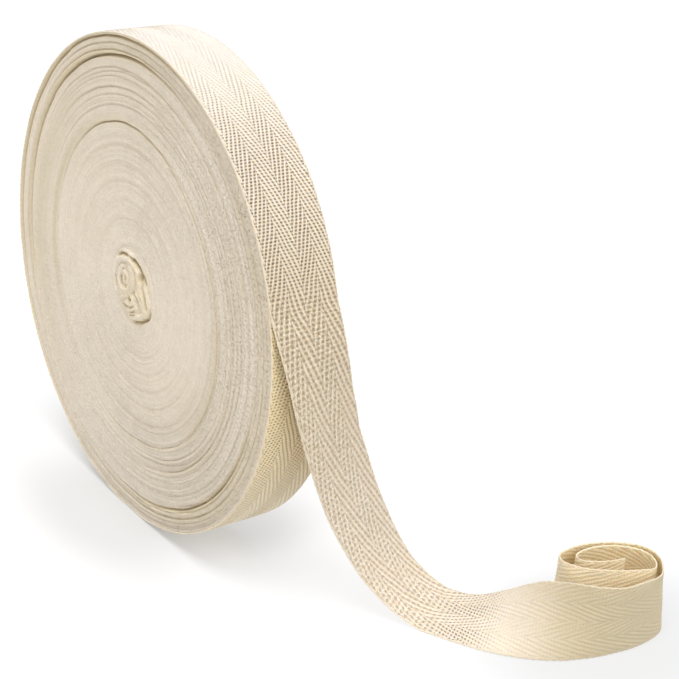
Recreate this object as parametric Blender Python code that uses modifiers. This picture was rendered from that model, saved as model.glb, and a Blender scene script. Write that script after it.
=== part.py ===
"""Roll of herringbone twill tape, standing on its rim with its loose end
running down to the surface and curled up on its edge.

Metres, +Z up.  The roll's axis lies along X; the surface is z = 0; the origin
is the middle of the small flat where the roll stands.  The loose end leaves
the roll on its -Y side.  Two pieces: the wound roll (its inner turns packed
into one solid, the crumpled beginning of the tape in the middle) and the loose
end, which is the last stretch of the same tape.
"""
import bpy
import bmesh
import math
from mathutils import Vector
import numpy as np

MM = 0.001

# ---- driving sizes -------------------------------------------------------
TAPE_WIDTH = 25.0 * MM          # one-inch class tape
TAPE_THICKNESS = 0.5 * MM       # the cloth itself: how far one wrap steps in
SHEET_THICKNESS = 1.0 * MM      # the loose end as a solid sheet
CLEARANCE = 0.3 * MM            # between the loose end and the roll
ROLL_RADIUS = 86.0 * MM         # outermost wrap
FLAT_DEPTH = 0.30 * MM          # how much the rim is flattened where it stands
PEEL_ANGLE = 16.0               # deg above the level of the axis, -Y side
ROLL_SEGMENTS = 72
RAMP_SEGMENTS = 1               # segments over which one wrap steps in

# ---- the two faces of the roll: narrow grooves between bands of turns -----
# ring radius, groove depth, how far the band inside it lies back (mm)
SHOWN_FACE = [
    dict(radius=84.0, groove=0.35, back=0.10),
    dict(radius=81.6, groove=0.45, back=0.25),
    dict(radius=79.7, groove=0.35, back=0.10),
    dict(radius=77.2, groove=1.30, back=0.50),
    dict(radius=72.8, groove=0.55, back=0.35),
    dict(radius=55.2, groove=0.85, back=0.50),
]
OTHER_FACE = [
    dict(radius=83.0, groove=0.40, back=0.15),
    dict(radius=76.5, groove=0.80, back=0.40),
    dict(radius=61.0, groove=0.60, back=0.30),
    dict(radius=38.0, groove=0.50, back=0.40),
]
GROOVE_HALF_WIDTH = 0.55 * MM
CORE_RINGS = [15.5, 13.6, 11.8, 10.0, 8.0, 6.0, 4.0, 2.0]   # mm, for the folds below

# ---- the crumpled beginning of the tape, in the middle of both faces ------
# each crease is an arc in the face: middle (y, z from the axis), radius,
# where it starts (deg from +Y towards +Z), how far it runs, and its depth
CORE_CREASES = [
    dict(y=0.0, z=-0.5, radius=11.6, start=30.0, sweep=122.0, depth=1.3),
    dict(y=-2.0, z=-2.0, radius=10.2, start=150.0, sweep=135.0, depth=1.1),
    dict(y=5.3, z=2.0, radius=2.9, start=40.0, sweep=290.0, depth=0.9),
    dict(y=1.5, z=1.0, radius=7.2, start=60.0, sweep=80.0, depth=0.7),
    dict(y=-1.5, z=-6.5, radius=6.0, start=30.0, sweep=85.0, depth=1.1),
    dict(y=1.0, z=-11.0, radius=7.0, start=45.0, sweep=75.0, depth=1.0),
]
CREASE_HALF_WIDTH = 0.9 * MM
CORE_CROWN = dict(radius=12.5 * MM, rise=0.35 * MM)

# ---- the loose end: middle line and the lie of its width ------------------
# x, y, z of the middle line; heading and lean of the line across the tape,
# from its left edge to its right: heading from +X towards +Y, lean upwards.
LOOSE_SECTIONS = [
    dict(x=0.6, y=-85.0, z=102.0, heading=2.0, lean=2.0),
    dict(x=7.2, y=-88.2, z=72.1, heading=12.4, lean=12.5),
    dict(x=16.0, y=-87.9, z=47.4, heading=15.6, lean=16.2),
    dict(x=25.7, y=-90.8, z=24.6, heading=21.5, lean=15.1),
    dict(x=34.3, y=-98.4, z=8.5, heading=28.7, lean=9.2),
    dict(x=40.6, y=-107.7, z=1.7, heading=30.4, lean=4.4),
    dict(x=44.4, y=-115.1, z=1.0, heading=29.7, lean=4.9),
    dict(x=50.4, y=-126.6, z=4.3, heading=32.6, lean=19.5),
    dict(x=62.4, y=-146.7, z=11.4, heading=50.8, lean=66.0),
    dict(x=72.4, y=-154.8, z=12.5, heading=64.4, lean=86.7),
    dict(x=91.5, y=-157.4, z=12.5, heading=96.6, lean=90.0),
]
LOOSE_STEP = 4.0 * MM           # length between the sheet's cross-sections

# ---- the curl at its end: tangent arcs, seen from above, turning left ------
CURL_HEADING = 6.6              # deg from +X, where the curl begins
CURL_ARCS = [
    dict(sweep=41, radius=13.5),
    dict(sweep=81, radius=10.5),
    dict(sweep=65, radius=25.7),
    dict(sweep=78, radius=5.1),
    dict(sweep=44, radius=9.5),
    dict(sweep=28, radius=45.9),
    dict(sweep=53, radius=3.1),
    dict(sweep=87, radius=8.6),
    dict(sweep=70, radius=17.7),
    dict(sweep=131, radius=2.9),
    dict(sweep=25, radius=31.1),
]
# the outer turn of the curl stands wider at the bottom: its lean outwards, in
# degrees, by the way the tape is heading there
CURL_FLARE = dict(least=3.0, most=8.0, most_at=52.6, rise=40.0, fades=(300.0, 360.0))
CURL_STEP_ANGLE = 14.0          # deg between cross-sections on an arc
CURL_STEP_LENGTH = 4.0          # mm, at most

CREAM = (0.78, 0.68, 0.50, 1.0)
CREAM_LIGHT = (0.84, 0.75, 0.58, 1.0)


# ---- helpers ---------------------------------------------------------------
def clear_scene():
    for obj in list(bpy.data.objects):
        bpy.data.objects.remove(obj, do_unlink=True)


def collection(name):
    coll = bpy.data.collections.get(name) or bpy.data.collections.new(name)
    if name not in bpy.context.scene.collection.children:
        bpy.context.scene.collection.children.link(coll)
    return coll


def material(name, colour, roughness):
    mat = bpy.data.materials.new(name)
    mat.use_nodes = True
    shader = mat.node_tree.nodes["Principled BSDF"]
    shader.inputs["Base Color"].default_value = colour
    shader.inputs["Roughness"].default_value = roughness
    shader.inputs["Metallic"].default_value = 0.0
    return mat


def wrap_step(turned):
    """How far the outline has stepped in after turning `turned` degrees
    back from the peel-off line (0..360): one thickness in a whole turn."""
    ramp = 360.0 / ROLL_SEGMENTS * RAMP_SEGMENTS
    if turned <= ramp:                       # the end of the last wrap
        return TAPE_THICKNESS * (1.0 - turned / ramp)
    return TAPE_THICKNESS * (turned - ramp) / (360.0 - ramp)


REST_TURN = (270.0 - PEEL_ANGLE) % 360.0
AXIS_HEIGHT = (ROLL_RADIUS - wrap_step(REST_TURN)) * math.cos(
    math.radians(0.5 * 360.0 / ROLL_SEGMENTS)) - FLAT_DEPTH


def face_profile(rings, side):
    """(radius, x) of one face from the rim inwards; side is +1 or -1."""
    points = [(ROLL_RADIUS, side * TAPE_WIDTH / 2)]
    back = 0.0
    for ring in rings:
        radius = ring["radius"] * MM
        points.append((radius + GROOVE_HALF_WIDTH, side * (TAPE_WIDTH / 2 - back)))
        points.append((radius, side * (TAPE_WIDTH / 2 - back - ring["groove"] * MM)))
        back = ring["back"] * MM
        points.append((radius - GROOVE_HALF_WIDTH, side * (TAPE_WIDTH / 2 - back)))
    for radius in CORE_RINGS:
        points.append((radius * MM, side * (TAPE_WIDTH / 2 - back)))
    points.append((0.0, side * (TAPE_WIDTH / 2 - back)))
    return points


def crease_depth(y, z):
    """Depth of the folds of the crumpled beginning at a point of the face."""
    depth = 0.0
    for crease in CORE_CREASES:
        dy, dz = y - crease["y"] * MM, z - crease["z"] * MM
        angle = (math.degrees(math.atan2(dz, dy)) - crease["start"]) % 360.0
        off = math.hypot(dy, dz) - crease["radius"] * MM
        if angle > crease["sweep"]:
            beyond = min(angle - crease["sweep"], 360.0 - angle)
            off = math.hypot(off, math.radians(beyond) * crease["radius"] * MM)
        depth = max(depth, crease["depth"] * MM * math.exp(-(off / CREASE_HALF_WIDTH) ** 2))
    return depth


def core_rise(y, z):
    """Soft crown of the crumpled middle, less its creases."""
    share = math.hypot(y, z) / CORE_CROWN["radius"]
    crown = CORE_CROWN["rise"] * (1.0 - share * share) if share < 1.0 else 0.0
    return crown - crease_depth(y, z)


def make_roll(coll, cutters):
    # turned about the local Z axis, outer side from top to bottom
    top = face_profile(OTHER_FACE, 1)
    bottom = face_profile(SHOWN_FACE, -1)
    profile = list(reversed(top)) + bottom
    mesh = bpy.data.meshes.new("roll_profile")
    verts = [(radius, 0.0, x) for radius, x in profile]
    mesh.from_pydata(verts, [(i, i + 1) for i in range(len(verts) - 1)], [])
    turned = bpy.data.objects.new("roll_profile", mesh)
    coll.objects.link(turned)
    screw = turned.modifiers.new("turn", "SCREW")
    screw.axis = 'Z'
    screw.steps = ROLL_SEGMENTS
    screw.render_steps = ROLL_SEGMENTS
    screw.use_merge_vertices = True
    screw.merge_threshold = 0.00001
    screw.use_smooth_shade = False
    bpy.context.view_layer.update()
    graph = bpy.context.evaluated_depsgraph_get()
    solid = bpy.data.meshes.new_from_object(turned.evaluated_get(graph))
    bpy.data.objects.remove(turned, do_unlink=True)

    # local (x, y, z) -> world: the turning axis becomes X, and the first
    # profile line comes to lie on the peel-off line
    start = math.radians(PEEL_ANGLE)
    for vert in solid.vertices:
        radius = math.hypot(vert.co.x, vert.co.y)
        turn = math.degrees(math.atan2(vert.co.y, vert.co.x)) % 360.0
        x = vert.co.z
        if radius > ROLL_RADIUS - 0.5 * MM:
            snapped = round(turn * ROLL_SEGMENTS / 360.0) * 360.0 / ROLL_SEGMENTS
            radius -= wrap_step(snapped % 360.0)
        # angle above the level of the axis on the -Y side, growing over the top
        angle = start + math.radians(turn)
        y, z = -radius * math.cos(angle), radius * math.sin(angle)
        if math.hypot(y, z) < (CORE_RINGS[0] + 0.1) * MM:
            x += core_rise(y, z) if x > 0.0 else -core_rise(y, z)
        vert.co = Vector((x, y, z + AXIS_HEIGHT))
    cleaner = bmesh.new()
    cleaner.from_mesh(solid)
    bmesh.ops.remove_doubles(cleaner, verts=cleaner.verts, dist=0.000002)
    bmesh.ops.recalc_face_normals(cleaner, faces=cleaner.faces)
    cleaner.to_mesh(solid)
    cleaner.free()
    solid.name = "wound_roll"
    roll = bpy.data.objects.new("wound_roll", solid)
    coll.objects.link(roll)
    solid.materials.clear()
    solid.materials.append(material("wound_cotton", CREAM, 0.9))

    # the small flat where it stands
    size = 0.060
    bpy.ops.mesh.primitive_cube_add(size=size, location=(0.0, 0.0, -size / 2))
    cutter = bpy.context.active_object
    cutter.name = "flat_cutter"
    for owner in list(cutter.users_collection):
        owner.objects.unlink(cutter)
    cutters.objects.link(cutter)
    cutter.hide_render = True
    cutter.display_type = 'WIRE'
    flat = roll.modifiers.new("flat", "BOOLEAN")
    flat.operation = 'DIFFERENCE'
    flat.solver = 'EXACT'
    flat.object = cutter
    return roll


def spline(knots, values, first_slope, last_slope):
    """Cubic spline through rows of values with given end slopes."""
    count = len(knots)
    step = np.diff(knots)
    values = np.asarray(values, float)
    rows = np.zeros((count, count))
    right = np.zeros_like(values)
    rows[0, 0] = rows[-1, -1] = 1.0
    right[0], right[-1] = first_slope, last_slope
    for i in range(1, count - 1):
        before, after = step[i - 1], step[i]
        rows[i, i - 1] = after
        rows[i, i] = 2.0 * (before + after)
        rows[i, i + 1] = before
        right[i] = 3.0 * (after * (values[i] - values[i - 1]) / before
                          + before * (values[i + 1] - values[i]) / after)
    slopes = np.linalg.solve(rows, right)

    def at(where):
        i = int(min(max(np.searchsorted(knots, where) - 1, 0), count - 2))
        width = step[i]
        t = (where - knots[i]) / width
        return ((2 * t ** 3 - 3 * t ** 2 + 1) * values[i]
                + (t ** 3 - 2 * t ** 2 + t) * width * slopes[i]
                + (-2 * t ** 3 + 3 * t ** 2) * values[i + 1]
                + (t ** 3 - t ** 2) * width * slopes[i + 1])
    return at


def curl_flare(heading):
    """Lean of the standing curl where the tape heads `heading` radians."""
    turned = math.degrees(heading)
    begins = min(max((turned - CURL_HEADING) / CURL_FLARE["rise"], 0.0), 1.0)
    first, last = CURL_FLARE["fades"]
    ends = min(max((turned - first) / (last - first), 0.0), 1.0)
    swing = math.cos(math.radians(turned - CURL_FLARE["most_at"]))
    lean = (CURL_FLARE["most"] + CURL_FLARE["least"]) / 2 \
        + (CURL_FLARE["most"] - CURL_FLARE["least"]) / 2 * swing
    return math.radians(lean * begins ** 2 * (3 - 2 * begins)
                        * (1 - ends ** 2 * (3 - 2 * ends)))


def loose_line():
    """(middle point, direction across the tape) along the whole loose end."""
    peel = math.radians(PEEL_ANGLE)
    radius = ROLL_RADIUS - TAPE_THICKNESS + CLEARANCE + SHEET_THICKNESS / 2
    start = (0.0, -radius * math.cos(peel), AXIS_HEIGHT + radius * math.sin(peel))
    points = [start] + [(r["x"] * MM, r["y"] * MM, r["z"] * MM) for r in LOOSE_SECTIONS]
    turns = [(0.0, 0.0)] + [(r["heading"], r["lean"]) for r in LOOSE_SECTIONS]
    points = np.array(points)
    knots = np.concatenate([[0.0], np.cumsum(np.linalg.norm(np.diff(points, axis=0), axis=1))])
    leave = np.array([0.0, -math.sin(peel), -math.cos(peel)])
    heading = math.radians(CURL_HEADING)
    arrive = np.array([math.cos(heading), math.sin(heading), 0.0])
    where = spline(knots, points, leave, arrive)
    across = spline(knots, turns, np.zeros(2), np.zeros(2))
    count = max(2, round(knots[-1] / LOOSE_STEP))
    sections = []
    for k in range(count + 1):
        s = knots[-1] * k / count
        turn, lean = np.radians(across(s))
        sections.append((where(s), np.array([math.cos(lean) * math.cos(turn),
                                             math.cos(lean) * math.sin(turn),
                                             math.sin(lean)])))
    # the curl, standing on its edge
    x, y, z = points[-1]
    for arc in CURL_ARCS:
        radius, sweep = arc["radius"] * MM, math.radians(arc["sweep"])
        pieces = max(math.ceil(arc["sweep"] / CURL_STEP_ANGLE),
                     math.ceil(radius * sweep / (CURL_STEP_LENGTH * MM)))
        for k in range(1, pieces + 1):
            now = heading + sweep * k / pieces
            lean = curl_flare(now)
            sections.append((np.array([x + radius * (math.sin(now) - math.sin(heading)),
                                       y - radius * (math.cos(now) - math.cos(heading)),
                                       z]),
                             np.array([-math.sin(lean) * math.sin(now),
                                       math.sin(lean) * math.cos(now), math.cos(lean)])))
        x, y = sections[-1][0][0], sections[-1][0][1]
        heading += sweep
    return sections


def make_loose_end(coll):
    sections = loose_line()
    middles = np.array([s[0] for s in sections])
    ahead = np.gradient(middles, axis=0)
    mesh = bpy.data.meshes.new("loose_end")
    build = bmesh.new()
    rings = []
    for (middle, across), along in zip(sections, ahead):
        outward = np.cross(along, across)
        outward /= np.linalg.norm(outward)
        corners = []
        for side, face in ((-1, -1), (0, -1), (1, -1), (1, 1), (0, 1), (-1, 1)):
            corners.append(middle + across * side * TAPE_WIDTH / 2
                           + outward * face * SHEET_THICKNESS / 2)
        lift = max(0.0, -min(corner[2] for corner in corners))
        rings.append([build.verts.new(Vector(corner) + Vector((0.0, 0.0, lift)))
                      for corner in corners])
    count = len(rings[0])
    for first, second in zip(rings, rings[1:]):
        for i in range(count):
            j = (i + 1) % count
            build.faces.new((first[i], first[j], second[j], second[i]))
    build.faces.new(list(reversed(rings[0])))
    build.faces.new(rings[-1])
    bmesh.ops.recalc_face_normals(build, faces=build.faces)
    build.to_mesh(mesh)
    build.free()
    mesh.materials.append(material("tape_cotton", CREAM_LIGHT, 0.85))
    sheet = bpy.data.objects.new("loose_end", mesh)
    coll.objects.link(sheet)
    return sheet


def main():
    clear_scene()
    parts = collection("roll_of_twill_tape")
    cutters = collection("cutters")
    make_roll(parts, cutters)
    make_loose_end(parts)
    bpy.context.view_layer.update()


main()
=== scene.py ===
"""Looks of the roll of herringbone tape: the wound turns seen edge on, the last
wrap and the loose end as one woven tape, and the crumpled beginning of the tape
in the middle.  Lengths below are in millimetres and become metres at the end.
"""
import bpy
import math
import numpy as np
from mathutils import Matrix, Vector


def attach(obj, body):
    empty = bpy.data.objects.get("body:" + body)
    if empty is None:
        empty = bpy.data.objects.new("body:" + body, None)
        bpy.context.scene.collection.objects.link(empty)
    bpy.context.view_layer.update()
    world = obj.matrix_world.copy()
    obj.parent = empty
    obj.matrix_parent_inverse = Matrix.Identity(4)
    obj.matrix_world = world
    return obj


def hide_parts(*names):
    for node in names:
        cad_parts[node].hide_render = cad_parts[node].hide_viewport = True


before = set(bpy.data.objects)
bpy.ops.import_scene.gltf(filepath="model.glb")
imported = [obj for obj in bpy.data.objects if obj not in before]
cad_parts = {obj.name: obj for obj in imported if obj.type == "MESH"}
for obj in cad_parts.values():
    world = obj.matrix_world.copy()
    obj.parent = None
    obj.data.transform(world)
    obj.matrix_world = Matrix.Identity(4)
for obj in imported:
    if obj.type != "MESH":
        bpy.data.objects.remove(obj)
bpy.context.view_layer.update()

MM = 0.001

# ---- sizes shared with the model -------------------------------------------
TAPE_WIDTH = 25.0
WRAP = 0.5                      # one turn of the roll
ROLL_RADIUS = 86.0
PEEL_ANGLE = 16.0
FLAT_DEPTH = 0.30
RAMP = 5.0                      # deg over which the model's outline steps in
AXIS_HEIGHT = (ROLL_RADIUS - WRAP * (254.0 - RAMP) / (360.0 - RAMP)) * math.cos(
    math.radians(2.5)) - FLAT_DEPTH

LOOSE_SECTIONS = [
    dict(x=0.6, y=-85.0, z=102.0, heading=2.0, lean=2.0),
    dict(x=7.2, y=-88.2, z=72.1, heading=12.4, lean=12.5),
    dict(x=16.0, y=-87.9, z=47.4, heading=15.6, lean=16.2),
    dict(x=25.7, y=-90.8, z=24.6, heading=21.5, lean=15.1),
    dict(x=34.3, y=-98.4, z=8.5, heading=28.7, lean=9.2),
    dict(x=40.6, y=-107.7, z=1.7, heading=30.4, lean=4.4),
    dict(x=44.4, y=-115.1, z=1.0, heading=29.7, lean=4.9),
    dict(x=50.4, y=-126.6, z=4.3, heading=32.6, lean=19.5),
    dict(x=62.4, y=-146.7, z=11.4, heading=50.8, lean=66.0),
    dict(x=72.4, y=-154.8, z=12.5, heading=64.4, lean=86.7),
    dict(x=91.5, y=-157.4, z=12.5, heading=96.6, lean=90.0),
]
CURL_HEADING = 6.6
CURL_ARCS = [
    dict(sweep=41, radius=13.5),
    dict(sweep=81, radius=10.5),
    dict(sweep=65, radius=25.7),
    dict(sweep=78, radius=5.1),
    dict(sweep=44, radius=9.5),
    dict(sweep=28, radius=45.9),
    dict(sweep=53, radius=3.1),
    dict(sweep=87, radius=8.6),
    dict(sweep=70, radius=17.7),
    dict(sweep=131, radius=2.9),
    dict(sweep=25, radius=31.1),
]

CURL_FLARE = dict(least=3.0, most=8.0, most_at=52.6, rise=40.0, fades=(300.0, 360.0))

# ---- the weave --------------------------------------------------------------
LEFT_SELVEDGE = 1.0             # plain woven edge
STRIPE = 5.85                   # each of the four herringbone stripes
ENDS = 16                       # warp ends in a stripe
PICK = 1.045                    # from one weft to the next
REPEAT = 4                      # each weft passes over one end in four
CLOTH_HALF = 0.27               # half the cloth's thickness
SEAM_TURN = 96.0                # where the last wrap is divided, on its hidden side
HANGS_FROM, HANGS_TO = 604.0, 505.0     # along the weave: the tape hangs free here
OPENS = 0.25                    # and its weave is this much coarser


# ---- noise ------------------------------------------------------------------
def hashed(seed, *cells):
    """A repeatable number from 0 to 1 for each cell of a grid."""
    value = np.uint64(seed * 7919 + 17)
    for k, cell in enumerate(cells):
        cell = np.asarray(cell).astype(np.int64).astype(np.uint64) & np.uint64(0xFFFFFFFF)
        value = (value ^ (cell * np.uint64(2654435761))) & np.uint64(0xFFFFFFFF)
        value = (value ^ (value >> np.uint64(15))) * np.uint64(2246822519 + 2 * k) & np.uint64(0xFFFFFFFF)
        value = (value ^ (value >> np.uint64(13))) * np.uint64(3266489917) & np.uint64(0xFFFFFFFF)
        value = value ^ (value >> np.uint64(16))
    return value.astype(float) / 4294967296.0


def smooth(t):
    t = np.clip(t, 0.0, 1.0)
    return t * t * (3.0 - 2.0 * t)


def noise1(x, seed):
    """Smooth noise along a line, from -1 to 1."""
    cell = np.floor(x)
    share = smooth(x - cell)
    return 2.0 * (hashed(seed, cell) * (1 - share) + hashed(seed, cell + 1) * share) - 1.0


def noise2(x, y, seed):
    """Smooth noise over a plane, from -1 to 1."""
    cx, cy = np.floor(x), np.floor(y)
    sx, sy = smooth(x - cx), smooth(y - cy)
    low = hashed(seed, cx, cy) * (1 - sx) + hashed(seed, cx + 1, cy) * sx
    high = hashed(seed, cx, cy + 1) * (1 - sx) + hashed(seed, cx + 1, cy + 1) * sx
    return 2.0 * (low * (1 - sy) + high * sy) - 1.0


# ---- meshes -----------------------------------------------------------------
def make_mesh(name, points, faces, maps=None, materials=(), slots=None):
    """points in mm; faces is a list of integer arrays (n, corners); maps gives
    for each UV map one row per face corner, in the order of the faces."""
    mesh = bpy.data.meshes.new(name)
    points = np.asarray(points, np.float32) * MM
    loops = np.concatenate([np.asarray(f, np.int32).ravel() for f in faces])
    sizes = np.concatenate([np.full(len(f), f.shape[1], np.int32) for f in faces])
    starts = np.concatenate([[0], np.cumsum(sizes)[:-1]]).astype(np.int32)
    mesh.vertices.add(len(points))
    mesh.vertices.foreach_set("co", points.astype(np.float32).ravel())
    mesh.loops.add(len(loops))
    mesh.loops.foreach_set("vertex_index", loops)
    mesh.polygons.add(len(sizes))
    mesh.polygons.foreach_set("loop_start", starts)
    mesh.polygons.foreach_set("loop_total", sizes)
    mesh.polygons.foreach_set("use_smooth", np.ones(len(sizes), bool))
    for material in materials:
        mesh.materials.append(material)
    if slots is not None:
        mesh.polygons.foreach_set("material_index", np.asarray(slots, np.int32))
    mesh.update(calc_edges=True)
    for label, rows in (maps or {}).items():
        layer = mesh.uv_layers.new(name=label)
        layer.data.foreach_set("uv", np.asarray(rows, np.float32).ravel())
    mesh.validate()
    mesh.update()
    obj = bpy.data.objects.new(name, mesh)
    bpy.context.scene.collection.objects.link(obj)
    return obj


# ---- the tape's route ---------------------------------------------------------
def spline(knots, values, first_slope, last_slope):
    count = len(knots)
    step = np.diff(knots)
    values = np.asarray(values, float)
    rows = np.zeros((count, count))
    right = np.zeros_like(values)
    rows[0, 0] = rows[-1, -1] = 1.0
    right[0], right[-1] = first_slope, last_slope
    for i in range(1, count - 1):
        before, after = step[i - 1], step[i]
        rows[i, i - 1] = after
        rows[i, i] = 2.0 * (before + after)
        rows[i, i + 1] = before
        right[i] = 3.0 * (after * (values[i] - values[i - 1]) / before
                          + before * (values[i + 1] - values[i]) / after)
    slopes = np.linalg.solve(rows, right)

    def at(where):
        i = int(min(max(np.searchsorted(knots, where) - 1, 0), count - 2))
        width = step[i]
        t = (where - knots[i]) / width
        return ((2 * t ** 3 - 3 * t ** 2 + 1) * values[i]
                + (t ** 3 - 2 * t ** 2 + t) * width * slopes[i]
                + (-2 * t ** 3 + 3 * t ** 2) * values[i + 1]
                + (t ** 3 - t ** 2) * width * slopes[i + 1])
    return at


def wrapped_middle(turn):
    """Middle of the cloth on the roll, `turn` degrees back from the peel line."""
    radius = ROLL_RADIUS - WRAP * (0.5 + turn / 360.0)
    angle = math.radians(PEEL_ANGLE + turn)
    return np.array([0.0, -radius * math.cos(angle), AXIS_HEIGHT + radius * math.sin(angle)])


def curl_flare(heading):
    """Lean of the standing curl where the tape heads `heading` radians."""
    turned = math.degrees(heading)
    first, last = CURL_FLARE["fades"]
    swing = math.cos(math.radians(turned - CURL_FLARE["most_at"]))
    lean = (CURL_FLARE["most"] + CURL_FLARE["least"]) / 2 \
        + (CURL_FLARE["most"] - CURL_FLARE["least"]) / 2 * swing
    return math.radians(lean * float(smooth((turned - CURL_HEADING) / CURL_FLARE["rise"]))
                        * (1 - float(smooth((turned - first) / (last - first)))))


def loose_route():
    """Fine rows (middle, across) from the peel line to the end."""
    peel = math.radians(PEEL_ANGLE)
    points = np.array([wrapped_middle(0.0)]
                      + [(r["x"], r["y"], r["z"]) for r in LOOSE_SECTIONS])
    turns = np.array([(0.0, 0.0)] + [(r["heading"], r["lean"]) for r in LOOSE_SECTIONS])
    knots = np.concatenate([[0.0], np.cumsum(np.linalg.norm(np.diff(points, axis=0), axis=1))])
    heading = math.radians(CURL_HEADING)
    where = spline(knots, points, np.array([0.0, -math.sin(peel), -math.cos(peel)]),
                   np.array([math.cos(heading), math.sin(heading), 0.0]))
    lie = spline(knots, turns, np.zeros(2), np.zeros(2))
    middles, across = [], []
    for s in np.linspace(0.0, knots[-1], 500):
        turn, lean = np.radians(lie(s))
        middles.append(where(s))
        across.append((math.cos(lean) * math.cos(turn), math.cos(lean) * math.sin(turn),
                       math.sin(lean)))
    x, y, z = points[-1]
    for arc in CURL_ARCS:
        radius, sweep = arc["radius"], math.radians(arc["sweep"])
        pieces = max(int(radius * sweep / 0.35), 4)
        for k in range(1, pieces + 1):
            now = heading + sweep * k / pieces
            middles.append((x + radius * (math.sin(now) - math.sin(heading)),
                            y - radius * (math.cos(now) - math.cos(heading)), z))
            lean = curl_flare(now)
            across.append((-math.sin(lean) * math.sin(now), math.sin(lean) * math.cos(now),
                           math.cos(lean)))
        x, y = middles[-1][0], middles[-1][1]
        heading += sweep
    return np.array(middles), np.array(across)


def smoothed(rows, width):
    """Rows averaged along the route, so that arcs run into each other softly."""
    out = rows.copy()
    kernel = np.hanning(2 * width + 3)[1:-1]
    kernel /= kernel.sum()
    for k in range(rows.shape[1]):
        padded = np.concatenate([2 * rows[0, k] - rows[width:0:-1, k], rows[:, k],
                                 2 * rows[-1, k] - rows[-2:-width - 2:-1, k]])
        out[:, k] = np.convolve(padded, kernel, "valid")
    return out


def route(step):
    """The last stretch of the tape at even steps: from the hidden seam at the
    top of the roll, over the peel line and down to the cut end.  Returns the
    middles, the lines across, and v: the length along, + up the roll."""
    loose, loose_across = loose_route()
    seam_length = math.radians(SEAM_TURN) * (ROLL_RADIUS - 0.3)
    on_roll = [wrapped_middle(t) for t in np.linspace(SEAM_TURN, 0.0, 300)[:-1]]
    middles = np.concatenate([on_roll, loose])
    across = np.concatenate([np.tile((1.0, 0.0, 0.0), (len(on_roll), 1)), loose_across])
    length = np.concatenate([[0.0], np.cumsum(np.linalg.norm(np.diff(middles, axis=0), axis=1))])
    fine = np.linspace(0.0, length[-1], int(length[-1] / 0.2))
    middles = np.stack([np.interp(fine, length, middles[:, k]) for k in range(3)], 1)
    across = np.stack([np.interp(fine, length, across[:, k]) for k in range(3)], 1)
    middles, across = smoothed(middles, 6), smoothed(across, 20)
    length = np.concatenate([[0.0], np.cumsum(np.linalg.norm(np.diff(middles, axis=0), axis=1))])
    count = int(round(length[-1] / step))
    even = np.linspace(0.0, length[-1], count + 1)
    middles = np.stack([np.interp(even, length, middles[:, k]) for k in range(3)], 1)
    across = np.stack([np.interp(even, length, across[:, k]) for k in range(3)], 1)
    across /= np.linalg.norm(across, axis=1)[:, None]
    return middles, across, even, seam_length - even


# ---- the cloth's surface --------------------------------------------------------
def weave_length(v):
    """Length along the weave.  The weave of the hanging stretch is drawn out a
    little along the tape, as it looks in the photo."""
    s = -np.asarray(v, float)
    grid = np.linspace(0.0, 400.0, 1601)
    slack = 1.0 - 0.30 * smooth((grid - 2.0) / 25.0) * (1.0 - smooth((grid - 118.0) / 35.0))
    run = np.concatenate([[0.0], np.cumsum((slack[1:] + slack[:-1]) / 2 * np.diff(grid))])
    return np.where(s > 0.0, -np.interp(s, grid, run), v) + 600.0


def twill_relief(u, w):
    """Height of the twill lines, from -1 to 1, at u across and w along."""
    ends = ENDS * (1.0 - OPENS * smooth((HANGS_FROM + 8.0 - w) / 16.0) * smooth((w - HANGS_TO + 8.0) / 16.0))
    w = w + OPENS * (HANGS_FROM - np.clip(w, HANGS_TO, HANGS_FROM))
    across = (u - LEFT_SELVEDGE) / STRIPE
    stripe = np.clip(np.floor(across), 0, 3)
    share = np.clip(across - stripe, 0.0, 1.0)
    odd = (stripe % 2).astype(bool)
    column = np.where(odd, 1.0 - share, share) * ends
    phase = (w / PICK - column - np.where(odd, 2.0, 0.0)) / REPEAT
    line = -np.cos(2 * np.pi * (phase - 0.12))
    border = smooth(np.minimum(share, 1.0 - share) * STRIPE / 0.35)
    inside = smooth((u - 0.5 * LEFT_SELVEDGE) / 0.5) * smooth((TAPE_WIDTH - 0.15 - u) / 0.4)
    return (line * border - 0.5 * (1.0 - border)) * inside


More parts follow.
